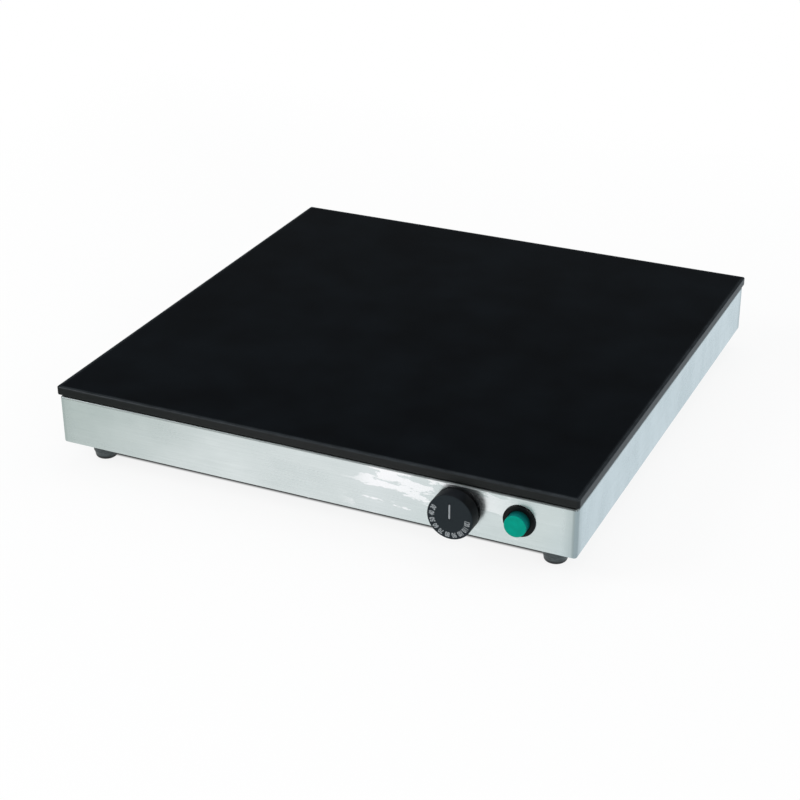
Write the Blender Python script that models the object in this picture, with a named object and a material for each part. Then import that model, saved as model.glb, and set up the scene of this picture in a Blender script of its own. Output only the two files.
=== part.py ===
"""A buffet hot plate: a square sheet of black glass on a folded stainless steel casing, with a thermostat
knob and a green push button on its front, a cable gland at its back and four rubber feet below.

Lengths are in metres, +Z is up and the controls face -Y. The origin is the centre of the bounding box's
bottom, on the surface that the feet stand on. Pieces that touch keep SEAT_GAP between their faces.
"""

import math

import bmesh
import bpy
from mathutils import Vector

# Clearances
SEAT_GAP = 0.0003
RUN_GAP = 0.0003
HOLE_GAP = 0.0003
CUT_OVERRUN = 0.002
JOIN_OVERLAP = 0.001
WELD = 1e-7

# Casing: four walls of folded sheet with a flange turned in at the top and the bottom
CASING_WIDTH = 0.497
CASING_DEPTH = 0.497
CASING_HEIGHT = 0.0465
SHEET = 0.0012
CORNER_RADIUS = 0.003
FOLD_RADIUS = 0.0018
FLANGE_CORNER_RADIUS = 0.001
TOP_FLANGE = 0.016
BOTTOM_FLANGE = 0.014

# Glass sheet and the silicone bead that it is bedded on
GLASS_OVERHANG = 0.0015
GLASS_THICKNESS = 0.008
GLASS_TOP_ARRIS = 0.0012
GLASS_BOTTOM_ARRIS = 0.0006
GLASS_CORNER_RADIUS = 0.0012
SEAL_HEIGHT = 0.0017
SEAL_SETBACK = 0.0022
SEAL_WIDTH = 0.010
SEAL_CORNER_RADIUS = 0.0012

# Base plate, its screws and its vent slots
BASE_THICKNESS = 0.001
BASE_SETBACK = 0.004
BASE_CORNER_RADIUS = 0.004
BASE_SCREW_SETBACK = 0.009
BASE_SCREW_SPACING = 0.240
BASE_SCREW_HEAD_RADIUS = 0.0036
BASE_SCREW_HEAD_HEIGHT = 0.0022
BASE_SCREW_RADIUS = 0.0017
BASE_SCREW_LENGTH = 0.0075
VENT_LENGTH = 0.045
VENT_WIDTH = 0.003
VENT_PITCH = 0.010
VENT_COUNT = 6
VENT_GROUP_X = 0.120
VENT_GROUP_Y = 0.020

# Rubber feet, each with a screw up through it into a nut on the base plate
FOOT_HEIGHT = 0.0196
FOOT_SETBACK = 0.027
FOOT_TOP_RADIUS = 0.0120
FOOT_TREAD_RADIUS = 0.0100
FOOT_TREAD_ROUND = 0.0026
FOOT_TOP_ROUND = 0.0008
FOOT_RECESS_RADIUS = 0.0055
FOOT_RECESS_DEPTH = 0.009
FOOT_SCREW_HEAD_RADIUS = 0.0045
FOOT_SCREW_HEAD_HEIGHT = 0.0028
FOOT_SCREW_RADIUS = 0.0025
FOOT_SCREW_STICKOUT = 0.0015
FOOT_NUT_FLATS = 0.008
FOOT_NUT_HEIGHT = 0.004

# Layers below the glass. The spreader keeps a margin to the bead, the mat and the pad to the top flange.
SPREADER_MARGIN = 0.0138
SPREADER_THICKNESS = 0.001
SPREADER_CORNER_RADIUS = 0.006
MAT_MARGIN = 0.0125
MAT_THICKNESS = 0.0018
MAT_CORNER_RADIUS = 0.008
JUNCTION_FROM_RIGHT = 0.1685
JUNCTION_INWARD = 0.060
JUNCTION_WIDTH = 0.026
JUNCTION_DEPTH = 0.016
JUNCTION_HEIGHT = 0.004
PAD_MARGIN = 0.0125
PAD_THICKNESS = 0.016
PAD_NOTCH_FROM_RIGHT = 0.1885
PAD_NOTCH_INWARD = 0.100
CROSSBAR_INWARD = 0.130
CROSSBAR_WIDTH = 0.024
CROSSBAR_HEIGHT = 0.008
CROSSBAR_SHEET = 0.001
CROSSBAR_TAB_HEIGHT = 0.018

# Height of the controls above the middle of the wall, and their distance from the casing's right side
KNOB_RISE = -0.00105
BUTTON_RISE = 0.00155
KNOB_FROM_RIGHT = 0.1057
BUTTON_FROM_RIGHT = 0.0500

# Knob: a cup with a slightly domed, numbered front and a boss in its hollow back
KNOB_RADIUS = 0.0205
KNOB_RIM_FRONT = 0.0152
KNOB_CROWN = 0.0006
KNOB_EDGE_ROUND = 0.0012
KNOB_WALL = 0.0022
KNOB_FRONT_WALL = 0.0034
KNOB_BOSS_RADIUS = 0.0065
KNOB_BOSS_SETBACK = 0.0010
CLIP_THICKNESS = 0.0007
CLIP_LENGTH = 0.005
CLIP_STANDOFF = 0.0040
CLIP_OPENING = 50

# Thermostat behind the knob
SHAFT_RADIUS = 0.003
SHAFT_FRONT = 0.0112
SHAFT_INSIDE = 0.0100
SHAFT_CHAMFER = 0.0005
SHAFT_FLAT_DEPTH = 0.0012
SHAFT_FLAT_LENGTH = 0.0065
COLLAR_RADIUS = 0.0048
COLLAR_FRONT = 0.0008
THERMOSTAT_WIDTH = 0.042
THERMOSTAT_HEIGHT = 0.032
THERMOSTAT_DEPTH = 0.024
THERMOSTAT_EDGE = 0.0012
THERMOSTAT_SCREW_SPACING = 0.028
THERMOSTAT_SCREW_RADIUS = 0.0019
THERMOSTAT_SCREW_HEAD_RADIUS = 0.0036
THERMOSTAT_SCREW_HEAD_HEIGHT = 0.0020
THERMOSTAT_SCREW_LENGTH = 0.008
BLADE_WIDTH = 0.0063
BLADE_THICKNESS = 0.0008
BLADE_LENGTH = 0.008
THERMOSTAT_BLADE_RISE = 0.009
BULB_RADIUS = 0.003
BULB_LENGTH = 0.075
BULB_FROM_RIGHT = 0.1365
BULB_INWARD = 0.075
CAPILLARY_RADIUS = 0.0008
CAPILLARY_EXIT_X = 0.014
CAPILLARY_EXIT_RISE = 0.012
STRAP_THICKNESS = 0.0008
STRAP_WIDTH = 0.012
STRAP_FOOT_REACH = 0.009

# Overheat cut-out under the heater mat
CUTOUT_FROM_RIGHT = 0.0365
CUTOUT_INWARD = 0.078
CUTOUT_FLANGE_RADIUS = 0.0095
CUTOUT_FLANGE_THICKNESS = 0.0010
CUTOUT_RADIUS = 0.008
CUTOUT_HEIGHT = 0.008
CUTOUT_BLADE_SPACING = 0.008

# Push button: bezel, cap, carrier, spring, lamp and switch
BEZEL_RADIUS = 0.01425
BEZEL_FRONT = 0.0019
BEZEL_ROUND = 0.0007
BEZEL_BORE_CHAMFER = 0.0005
SLEEVE_RADIUS = 0.0110
SLEEVE_INSIDE = 0.0200
LIP_FRONT_INSIDE = 0.0056
LIP_THICKNESS = 0.0015
LIP_RADIUS = 0.0085
CAP_RADIUS = 0.00975
CAP_PROTRUSION = 0.0089
CAP_WALL = 0.0012
CAP_FRONT_WALL = 0.0016
CAP_ROUND = 0.0007
CAP_INSIDE = 0.0020
BUTTON_TRAVEL = 0.003
CARRIER_BORE_RADIUS = 0.0062
CARRIER_TAIL_RADIUS = 0.0073
CARRIER_STOP_RADIUS = 0.0093
CARRIER_STOP_THICKNESS = 0.0015
SPRING_WIRE_RADIUS = 0.00045
SPRING_COILS = 5
LAMP_RADIUS = 0.0026
LAMP_LENGTH = 0.021
SWITCH_BOSS_INSIDE = 0.0177
SWITCH_WIDTH = 0.024
SWITCH_HEIGHT = 0.022
SWITCH_DEPTH = 0.0175
SWITCH_EDGE = 0.001
SWITCH_BLADE_RISE = 0.006
BUTTON_NUT_FLATS = 0.027
BUTTON_NUT_HEIGHT = 0.004

# Cable gland through the back wall
GLAND_FROM_RIGHT = 0.0985
GLAND_FLATS = 0.022
GLAND_FLANGE = 0.005
GLAND_THREAD_RADIUS = 0.008
GLAND_FRONT_THREAD = 0.008
GLAND_REAR_THREAD = 0.010
GLAND_BORE_RADIUS = 0.005
GLAND_SEAL_RADIUS = 0.0063
GLAND_SEAL_BORE_RADIUS = 0.0040
GLAND_SEAL_STEP = 0.0007
GLAND_NUT_SKIRT = 0.008
GLAND_DOME = 0.005
GLAND_DOME_RADIUS = 0.0103
GLAND_DOME_LIP_RADIUS = 0.0074
LOCKNUT_HEIGHT = 0.0045

# Terminal block and earth screw on the base plate
BLOCK_FROM_RIGHT = 0.0985
BLOCK_SETBACK = 0.055
BLOCK_WIDTH = 0.036
BLOCK_DEPTH = 0.022
BLOCK_HEIGHT = 0.016
BLOCK_EDGE = 0.001
BLOCK_PORT_RADIUS = 0.0019
BLOCK_PORT_PITCH = 0.010
BLOCK_PORT_RISE = 0.0055
BLOCK_SCREW_OFFSET = 0.005
BLOCK_SCREW_RADIUS = 0.0015
BLOCK_SCREW_HEAD_RADIUS = 0.0024
BLOCK_SCREW_HEAD_HEIGHT = 0.0018
EARTH_FROM_RIGHT = 0.1435
EARTH_SETBACK = 0.0635
EARTH_NUT_FLATS = 0.007
EARTH_NUT_HEIGHT = 0.0032
EARTH_SCREW_RADIUS = 0.0019
WIRE_RADIUS = 0.0011
WIRE_INSERT = 0.004
WIRE_LEAD = 0.012

# Points that the wires pass between their straight leads: across, along and above the base plate, from the
# terminal that each point is nearer to. The capillary's are given from its own two ends.
LIVE_FROM_BLOCK = [(0.024, -0.086, 0.007)]
LIVE_TO_SWITCH = [(-0.002, 0.182, 0.007), (0, 0.052, 0.009)]
SWITCHED_FROM_SWITCH = [(-0.021, 0.020, 0.033)]
SWITCHED_TO_THERMOSTAT = [(0.008, 0.027, 0.034)]
REGULATED_FROM_THERMOSTAT = [(0.019, 0.027, 0.007)]
REGULATED_TO_CUTOUT = [(-0.011, -0.005, 0.007)]
HEATER_FROM_CUTOUT = [(-0.023, 0.009, 0.019)]
HEATER_TO_JUNCTION = [(0.034, 0.022, 0.022)]
NEUTRAL_FROM_BLOCK = [(-0.038, -0.096, 0.006)]
NEUTRAL_TO_JUNCTION = [(0.006, 0.128, 0.006), (0, 0.028, 0.013)]
EARTH_FROM_BLOCK = [(-0.012, -0.017, 0.003)]
CAPILLARY_FROM_THERMOSTAT = [(0, 0.011, 0), (-0.007, 0.027, 0.002)]
CAPILLARY_TO_BULB = [(-0.004, -0.013, -0.001), (-0.014, -0.006, 0), (-0.009, 0, 0)]

# Levels, from the surface that the feet stand on upwards
BASE_BOTTOM = FOOT_HEIGHT + SEAT_GAP
BASE_TOP = BASE_BOTTOM + BASE_THICKNESS
CASING_BOTTOM = BASE_TOP + SEAT_GAP
CASING_TOP = CASING_BOTTOM + CASING_HEIGHT
SEAL_BOTTOM = CASING_TOP + SEAT_GAP
GLASS_BOTTOM = SEAL_BOTTOM + SEAL_HEIGHT + SEAT_GAP
SPREADER_BOTTOM = GLASS_BOTTOM - SEAT_GAP - SPREADER_THICKNESS
MAT_BOTTOM = SPREADER_BOTTOM - SEAT_GAP - MAT_THICKNESS
PAD_BOTTOM = MAT_BOTTOM - SEAT_GAP - PAD_THICKNESS
CROSSBAR_TOP = PAD_BOTTOM - SEAT_GAP
GLAND_Z = (CASING_BOTTOM + CASING_TOP) / 2
KNOB_Z = GLAND_Z + KNOB_RISE
BUTTON_Z = GLAND_Z + BUTTON_RISE
FLOOR_OF_CASING = BASE_TOP + SEAT_GAP

# How far the controls and the gland reach beyond the casing. Half the difference centres the bounding box.
# The knob stands off the wall far enough to clear the glass's overhang above it.
KNOB_STANDOFF = GLASS_OVERHANG + RUN_GAP
KNOB_REACH = KNOB_RIM_FRONT + KNOB_CROWN
GLAND_NUT_BACK = SEAT_GAP + GLAND_FLANGE + SEAT_GAP
GLAND_REACH = GLAND_NUT_BACK + GLAND_NUT_SKIRT + GLAND_DOME
CASING_Y = (KNOB_REACH - GLAND_REACH) / 2
FRONT = -CASING_DEPTH / 2
BACK = CASING_DEPTH / 2
RIGHT = CASING_WIDTH / 2
PANEL_BACK = -SHEET - SEAT_GAP

# Places across the plate, measured from its middle
KNOB_X = RIGHT - KNOB_FROM_RIGHT
BUTTON_X = RIGHT - BUTTON_FROM_RIGHT
JUNCTION_X = RIGHT - JUNCTION_FROM_RIGHT
PAD_NOTCH_X = RIGHT - PAD_NOTCH_FROM_RIGHT
BULB_X = RIGHT - BULB_FROM_RIGHT
CUTOUT_X = RIGHT - CUTOUT_FROM_RIGHT
GLAND_X = RIGHT - GLAND_FROM_RIGHT
BLOCK_X = RIGHT - BLOCK_FROM_RIGHT
EARTH_X = RIGHT - EARTH_FROM_RIGHT

# Shares of the sizes of the piece that carries them
SCREW_CROWN_SHARE = 0.62
SCREW_SIDE_SHARE = 0.45
SOCKET_WIDTH_SHARE = 0.28
SOCKET_REACH_SHARE = 0.62
SOCKET_DEPTH_SHARE = 0.55
NUT_CHAMFER_SHARE = 0.12

CORNER_STEPS = 4
FOLD_STEPS = 2
ARC_STEPS = 3
CROWN_STEPS = 5
LARGE_ROUND_POINTS = 32
ROUND_POINTS = 24
SMALL_ROUND_POINTS = 12
FOOT_POINTS = 20
CLIP_STEPS = 16
STRAP_STEPS = 8
SPRING_COIL_POINTS = 9
SHARP_ANGLE = math.radians(35)

FACING_FRONT = (math.pi / 2, 0, 0)
FACING_BACK = (-math.pi / 2, 0, 0)
FACING_DOWN = (math.pi, 0, 0)
ALONG_X = (math.pi / 2, 0, math.pi / 2)

# Finishes: sRGB colour, roughness and metallic value
BLACK_GLASS = ("#0f1418", 0.06, 0.0)
STAINLESS = ("#c9d1d2", 0.30, 1.0)
GALVANISED = ("#a9aeb0", 0.45, 0.9)
ZINC_SCREW = ("#c3c6c4", 0.30, 1.0)
ALUMINIUM = ("#c4c7c9", 0.35, 1.0)
BRASS = ("#b99a55", 0.30, 1.0)
BLACK_SILICONE = ("#17191a", 0.60, 0.0)
RUBBER = ("#26292a", 0.70, 0.0)
HEATER_ORANGE = ("#a8492b", 0.60, 0.0)
MINERAL_WOOL = ("#d8d2bd", 0.95, 0.0)
KNOB_BLACK = ("#1c1f21", 0.42, 0.0)
BEZEL_BLACK = ("#121415", 0.35, 0.0)
BUTTON_GREEN = ("#059b87", 0.28, 0.0)
NYLON_GREY = ("#3a3d3f", 0.45, 0.0)
IVORY_PLASTIC = ("#d9d3c0", 0.50, 0.0)
LAMP_GLASS = ("#e6c9a8", 0.10, 0.0)
COPPER = ("#b9714a", 0.35, 1.0)
SPRING_STEEL = ("#9da0a2", 0.30, 1.0)
BROWN_WIRE = ("#5b3323", 0.55, 0.0)
BLUE_WIRE = ("#2b5d9e", 0.55, 0.0)
EARTH_WIRE = ("#7f9a35", 0.55, 0.0)
WHITE_WIRE = ("#dad9d3", 0.55, 0.0)


def linear(hex_colour):
    """The linear RGBA of an sRGB colour such as #c9d1d2."""
    channels = [int(hex_colour[i : i + 2], 16) / 255 for i in (1, 3, 5)]
    return [c / 12.92 if c <= 0.04045 else ((c + 0.055) / 1.055) ** 2.4 for c in channels] + [1.0]


def clear_scene():
    for old in list(bpy.data.objects):
        bpy.data.objects.remove(old, do_unlink=True)


def add_empty(name, place, turn=(0, 0, 0), parent=None):
    empty = bpy.data.objects.new(name, None)
    bpy.context.scene.collection.objects.link(empty)
    empty.parent = parent
    empty.location = place
    empty.rotation_euler = turn
    return empty


def link_object(name, data, parent, place, turn):
    made = bpy.data.objects.new(name, data)
    bpy.context.scene.collection.objects.link(made)
    made.parent = parent
    made.location = place
    made.rotation_euler = turn
    return made


def paint(made, look):
    colour, roughness, metallic = look
    surface = bpy.data.materials.new(made.name)
    surface.use_nodes = True
    shader = surface.node_tree.nodes["Principled BSDF"]
    shader.inputs["Base Color"].default_value = linear(colour)
    shader.inputs["Roughness"].default_value = roughness
    shader.inputs["Metallic"].default_value = metallic
    surface.diffuse_color = linear(colour)
    made.data.materials.append(surface)


def solid(name, shape, look, parent, place=(0, 0, 0), turn=(0, 0, 0)):
    """Makes a bmesh into a painted piece with smooth rounds and crisp edges."""
    mesh = bpy.data.meshes.new(name)
    shape.to_mesh(mesh)
    shape.free()
    mesh.shade_smooth()
    mesh.set_sharp_from_angle(angle=SHARP_ANGLE)
    made = link_object(name, mesh, parent, place, turn)
    paint(made, look)
    return made


def helper(name, shape, parent, place=(0, 0, 0), turn=(0, 0, 0)):
    """A shape that only cuts or joins: it isn't a piece of its own."""
    mesh = bpy.data.meshes.new(name)
    shape.to_mesh(mesh)
    shape.free()
    made = link_object(name, mesh, parent, place, turn)
    made.hide_render = True
    made.display_type = "WIRE"
    return made


def combine(piece, other, operation):
    boolean = piece.modifiers.new(f"{operation.lower()}_{other.name}", "BOOLEAN")
    boolean.operation = operation
    boolean.solver = "EXACT"
    boolean.object = other


def soften(piece, width, segments=1):
    bevel = piece.modifiers.new("soft_edges", "BEVEL")
    bevel.width = width
    bevel.segments = segments
    bevel.limit_method = "ANGLE"


def finish_shape(shape):
    bmesh.ops.remove_doubles(shape, verts=shape.verts, dist=WELD)
    bmesh.ops.recalc_face_normals(shape, faces=shape.faces)
    return shape


def merged(*shapes):
    """Several loose shapes in one bmesh, for a helper that cuts or joins in several places."""
    whole = bmesh.new()
    for shape in shapes:
        mesh = bpy.data.meshes.new("loose")
        shape.to_mesh(mesh)
        shape.free()
        whole.from_mesh(mesh)
        bpy.data.meshes.remove(mesh)
    return whole


def arc(centre_x, centre_y, radius, start, end, steps=ARC_STEPS):
    """Points on a circle from one angle to another, in degrees."""
    angles = [math.radians(start + (end - start) * i / steps) for i in range(steps + 1)]
    return [(centre_x + radius * math.cos(a), centre_y + radius * math.sin(a)) for a in angles]


def circle(radius, points=ROUND_POINTS):
    return [
        (radius * math.cos(math.tau * i / points), radius * math.sin(math.tau * i / points))
        for i in range(points)
    ]


def hexagon(across_flats, points=ROUND_POINTS):
    """A hexagon's outline with as many points as a circle."""
    outline = []
    for i in range(points):
        angle = math.tau * i / points
        from_flat = (angle + math.pi / 6) % (math.pi / 3) - math.pi / 6
        radius = across_flats / 2 / math.cos(from_flat)
        outline.append((radius * math.cos(angle), radius * math.sin(angle)))
    return outline


def rounded_rectangle(width, depth, radius, steps=CORNER_STEPS):
    """A rectangle's outline round the origin, anticlockwise, with round corners."""
    outline = []
    for quarter, (side_x, side_y) in enumerate(((1, 1), (-1, 1), (-1, -1), (1, -1))):
        start = quarter * 90
        centre = (side_x * (width / 2 - radius), side_y * (depth / 2 - radius))
        outline += arc(*centre, radius, start, start + 90, steps)
    return outline


def slot(length, width):
    return rounded_rectangle(length, width, width / 2, FOLD_STEPS)


def at_height(outline, z):
    return [(x, y, z) for x, y in outline]


def skinned(rings, looped=False):
    """A solid whose skin runs through rings of equally many points. Looped, the last ring joins the first.
    Otherwise the first and the last ring are filled."""
    shape = bmesh.new()
    rows = [[shape.verts.new(point) for point in ring] for ring in rings]
    pairs = list(zip(rows, rows[1:]))
    if looped:
        pairs.append((rows[-1], rows[0]))
    else:
        shape.faces.new(rows[0])
        shape.faces.new(rows[-1])
    for low, high in pairs:
        for i in range(len(low)):
            j = (i + 1) % len(low)
            shape.faces.new((low[i], low[j], high[j], high[i]))
    return finish_shape(shape)


def prism(outline, bottom, top):
    return skinned([at_height(outline, bottom), at_height(outline, top)])


def block(width, depth, bottom, top, centre=(0, 0)):
    """An upright box with its middle at centre."""
    x, y = centre
    corners = ((-1, -1), (1, -1), (1, 1), (-1, 1))
    outline = [(x + side_x * width / 2, y + side_y * depth / 2) for side_x, side_y in corners]
    return prism(outline, bottom, top)


def rod(radius, bottom, top, centre=(0, 0), points=ROUND_POINTS):
    x, y = centre
    return prism([(x + a, y + b) for a, b in circle(radius, points)], bottom, top)


def turned(profile, steps=ROUND_POINTS):
    """A solid turned about Z from (radius, height) points. A profile that starts and ends on the axis is
    an open line, and any other is a closed outline."""
    shape = bmesh.new()
    points = [shape.verts.new((radius, 0, height)) for radius, height in profile]
    pairs = list(zip(points, points[1:]))
    if profile[0][0] > 0 or profile[-1][0] > 0:
        pairs.append((points[-1], points[0]))
    lines = [shape.edges.new(pair) for pair in pairs]
    bmesh.ops.spin(
        shape,
        geom=points + lines,
        cent=(0, 0, 0),
        axis=(0, 0, 1),
        angle=math.tau,
        steps=steps,
        use_merge=True,
    )
    return finish_shape(shape)


def on_line(a, b, start, end, t):
    """The point at t on the line that passes a at start and b at end."""
    return a.lerp(b, (t - start) / (end - start))


def near(place, offsets):
    """Points of a route, given from a place."""
    return [tuple(a + b for a, b in zip(place, offset)) for offset in offsets]


def smooth_route(points, steps):
    """Points along a centripetal Catmull-Rom curve through a route's own points."""
    spots = [Vector(point) for point in points]
    spots = [2 * spots[0] - spots[1], *spots, 2 * spots[-1] - spots[-2]]
    route = []
    for a, b, c, d in zip(spots, spots[1:], spots[2:], spots[3:]):
        t_b = (b - a).length ** 0.5
        t_c = t_b + (c - b).length ** 0.5
        t_d = t_c + (d - c).length ** 0.5
        for i in range(steps):
            t = t_b + (t_c - t_b) * i / steps
            middle = on_line(b, c, t_b, t_c, t)
            low = on_line(on_line(a, b, 0, t_b, t), middle, 0, t_c, t)
            high = on_line(middle, on_line(c, d, t_c, t_d, t), t_b, t_d, t)
            route.append(on_line(low, high, t_b, t_c, t))
    route.append(spots[-2])
    return route


def tube(name, route, radius, look, parent, steps=3, sides_each_quarter=2):
    """A round tube along a smooth line through the route's points."""
    curve = bpy.data.curves.new(name, "CURVE")
    curve.dimensions = "3D"
    curve.bevel_depth = radius
    curve.bevel_resolution = sides_each_quarter
    curve.use_fill_caps = True
    spline = curve.splines.new("POLY")
    points = smooth_route(route, steps)
    spline.points.add(len(points) - 1)
    for spot, point in zip(spline.points, points):
        spot.co = (*point, 1)
    made = link_object(name, curve, parent, (0, 0, 0), (0, 0, 0))
    paint(made, look)
    return made


def screw(name, radius, length, head_radius, head_height, look, parent, place, turn=(0, 0, 0)):
    """A pan-head screw. Its head stands on Z = 0, facing +Z, and its shank runs down."""
    tip = radius / 2
    profile = [
        (0, -length),
        (radius - tip, -length),
        (radius, tip - length),
        (radius, 0),
        (head_radius, 0),
        (head_radius, head_height * SCREW_SIDE_SHARE),
        (head_radius * SCREW_CROWN_SHARE, head_height),
        (0, head_height),
    ]
    made = solid(name, turned(profile, SMALL_ROUND_POINTS), look, parent, place, turn)
    socket_bottom = head_height * (1 - SOCKET_DEPTH_SHARE)
    half_width = head_radius * SOCKET_WIDTH_SHARE / 2
    reach = head_radius * SOCKET_REACH_SHARE
    outline = []
    for cosine, sine in ((1, 0), (0, 1), (-1, 0), (0, -1)):
        for x, y in ((reach, -half_width), (reach, half_width), (half_width, half_width)):
            outline.append((x * cosine - y * sine, x * sine + y * cosine))
    top = head_height + CUT_OVERRUN
    socket = helper(f"{name}_socket", prism(outline, socket_bottom, top), parent, place, turn)
    combine(made, socket, "DIFFERENCE")
    return made


def nut(name, across_flats, height, bore_radius, look, parent, place, points=SMALL_ROUND_POINTS):
    """A hexagon nut with chamfered corners, standing on Z = 0."""
    chamfer = height * NUT_CHAMFER_SHARE
    flats = hexagon(across_flats, points)
    ends = circle(across_flats / 2, points)
    bore = circle(bore_radius, points)
    rings = [
        at_height(bore, 0),
        at_height(ends, 0),
        at_height(flats, chamfer),
        at_height(flats, height - chamfer),
        at_height(ends, height),
        at_height(bore, height),
    ]
    return solid(name, skinned(rings, looped=True), look, parent, place)


def inset_ring(width, depth, inset, z, corner_radius, least_radius):
    """A rectangle's ring drawn in by inset, whose corners shrink with it."""
    radius = max(corner_radius - inset, least_radius)
    return at_height(rounded_rectangle(width - 2 * inset, depth - 2 * inset, radius), z)


def carriers():
    """The plate's middle, and the axes of the knob, the button and the gland, which point outwards."""
    plate = add_empty("plate_centre", (0, CASING_Y, 0))
    knob_axis = add_empty("knob_axis", (KNOB_X, FRONT, KNOB_Z), FACING_FRONT, plate)
    button_axis = add_empty("button_axis", (BUTTON_X, FRONT, BUTTON_Z), FACING_FRONT, plate)
    gland_axis = add_empty("gland_axis", (GLAND_X, BACK, GLAND_Z), FACING_BACK, plate)
    return plate, knob_axis, button_axis, gland_axis


def foot_places():
    """Names and centres of the four feet."""
    across = CASING_WIDTH / 2 - FOOT_SETBACK
    along = CASING_DEPTH / 2 - FOOT_SETBACK
    for row, side_y in (("front", -1), ("rear", 1)):
        for column, side_x in (("left", -1), ("right", 1)):
            yield f"{row}_{column}", side_x * across, side_y * along


def base_screw_places():
    """Names and places of the six screws that hold the base plate to the casing's bottom flange."""
    across = CASING_WIDTH / 2 - BASE_SCREW_SETBACK
    along = CASING_DEPTH / 2 - BASE_SCREW_SETBACK
    yield "front", 0, -along
    yield "rear", 0, along
    for column, side_x in (("left", -1), ("right", 1)):
        for row, side_y in (("front", -1), ("rear", 1)):
            yield f"{column}_{row}", side_x * across, side_y * BASE_SCREW_SPACING / 2


def make_casing(plate, knob_axis, button_axis, gland_axis):
    """Folded stainless casing: a C-shaped strip carried round a square with small corner radii."""
    inner_fold = FOLD_RADIUS - SHEET
    top_fold = CASING_HEIGHT - FOLD_RADIUS
    outside = arc(FOLD_RADIUS, FOLD_RADIUS, FOLD_RADIUS, 270, 180, FOLD_STEPS)
    outside += arc(FOLD_RADIUS, top_fold, FOLD_RADIUS, 180, 90, FOLD_STEPS)
    inside = arc(FOLD_RADIUS, top_fold, inner_fold, 90, 180, FOLD_STEPS)
    inside += arc(FOLD_RADIUS, FOLD_RADIUS, inner_fold, 180, 270, FOLD_STEPS)
    profile = [(BOTTOM_FLANGE, 0), *outside, (TOP_FLANGE, CASING_HEIGHT)]
    profile += [(TOP_FLANGE, CASING_HEIGHT - SHEET), *inside, (BOTTOM_FLANGE, SHEET)]
    rings = [
        inset_ring(CASING_WIDTH, CASING_DEPTH, inset, z, CORNER_RADIUS, FLANGE_CORNER_RADIUS)
        for inset, z in profile
    ]
    place = (0, 0, CASING_BOTTOM)
    casing = solid("casing", skinned(rings, looped=True), STAINLESS, plate, place)
    below, above = -SHEET - CUT_OVERRUN, CUT_OVERRUN
    spacing = THERMOSTAT_SCREW_SPACING / 2
    screw_hole = THERMOSTAT_SCREW_RADIUS + HOLE_GAP
    knob_holes = [rod(COLLAR_RADIUS + HOLE_GAP, below, above)]
    knob_holes += [rod(screw_hole, below, above, (side * spacing, 0)) for side in (-1, 1)]
    combine(casing, helper("knob_holes", merged(*knob_holes), knob_axis), "DIFFERENCE")
    button_hole = rod(SLEEVE_RADIUS + HOLE_GAP, below, above)
    combine(casing, helper("button_hole", button_hole, button_axis), "DIFFERENCE")
    gland_hole = rod(GLAND_THREAD_RADIUS + HOLE_GAP, below, above)
    combine(casing, helper("gland_hole", gland_hole, gland_axis), "DIFFERENCE")
    bottom, top = CASING_BOTTOM - CUT_OVERRUN, CASING_BOTTOM + SHEET + CUT_OVERRUN
    pilot = BASE_SCREW_RADIUS + HOLE_GAP
    places = list(base_screw_places())
    flange_holes = [rod(pilot, bottom, top, (x, y), SMALL_ROUND_POINTS) for _, x, y in places]
    combine(casing, helper("flange_holes", merged(*flange_holes), plate), "DIFFERENCE")


def make_glass(plate):
    """Glass sheet with ground arrises on its edges, and the silicone bead below it."""
    width = CASING_WIDTH + 2 * GLASS_OVERHANG
    depth = CASING_DEPTH + 2 * GLASS_OVERHANG
    profile = [
        (GLASS_BOTTOM_ARRIS, 0),
        (0, GLASS_BOTTOM_ARRIS),
        (0, GLASS_THICKNESS - GLASS_TOP_ARRIS),
        (GLASS_TOP_ARRIS, GLASS_THICKNESS),
    ]
    corner = GLASS_CORNER_RADIUS
    rings = [inset_ring(width, depth, inset, z, 2 * corner, corner) for inset, z in profile]
    solid("glass_top", skinned(rings), BLACK_GLASS, plate, (0, 0, GLASS_BOTTOM))
    outer, inner = SEAL_SETBACK, SEAL_SETBACK + SEAL_WIDTH
    profile = [(outer, 0), (outer, SEAL_HEIGHT), (inner, SEAL_HEIGHT), (inner, 0)]
    rings = [
        inset_ring(CASING_WIDTH, CASING_DEPTH, inset, z, CORNER_RADIUS, SEAL_CORNER_RADIUS)
        for inset, z in profile
    ]
    solid("glass_seal", skinned(rings, looped=True), BLACK_SILICONE, plate, (0, 0, SEAL_BOTTOM))


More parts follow.
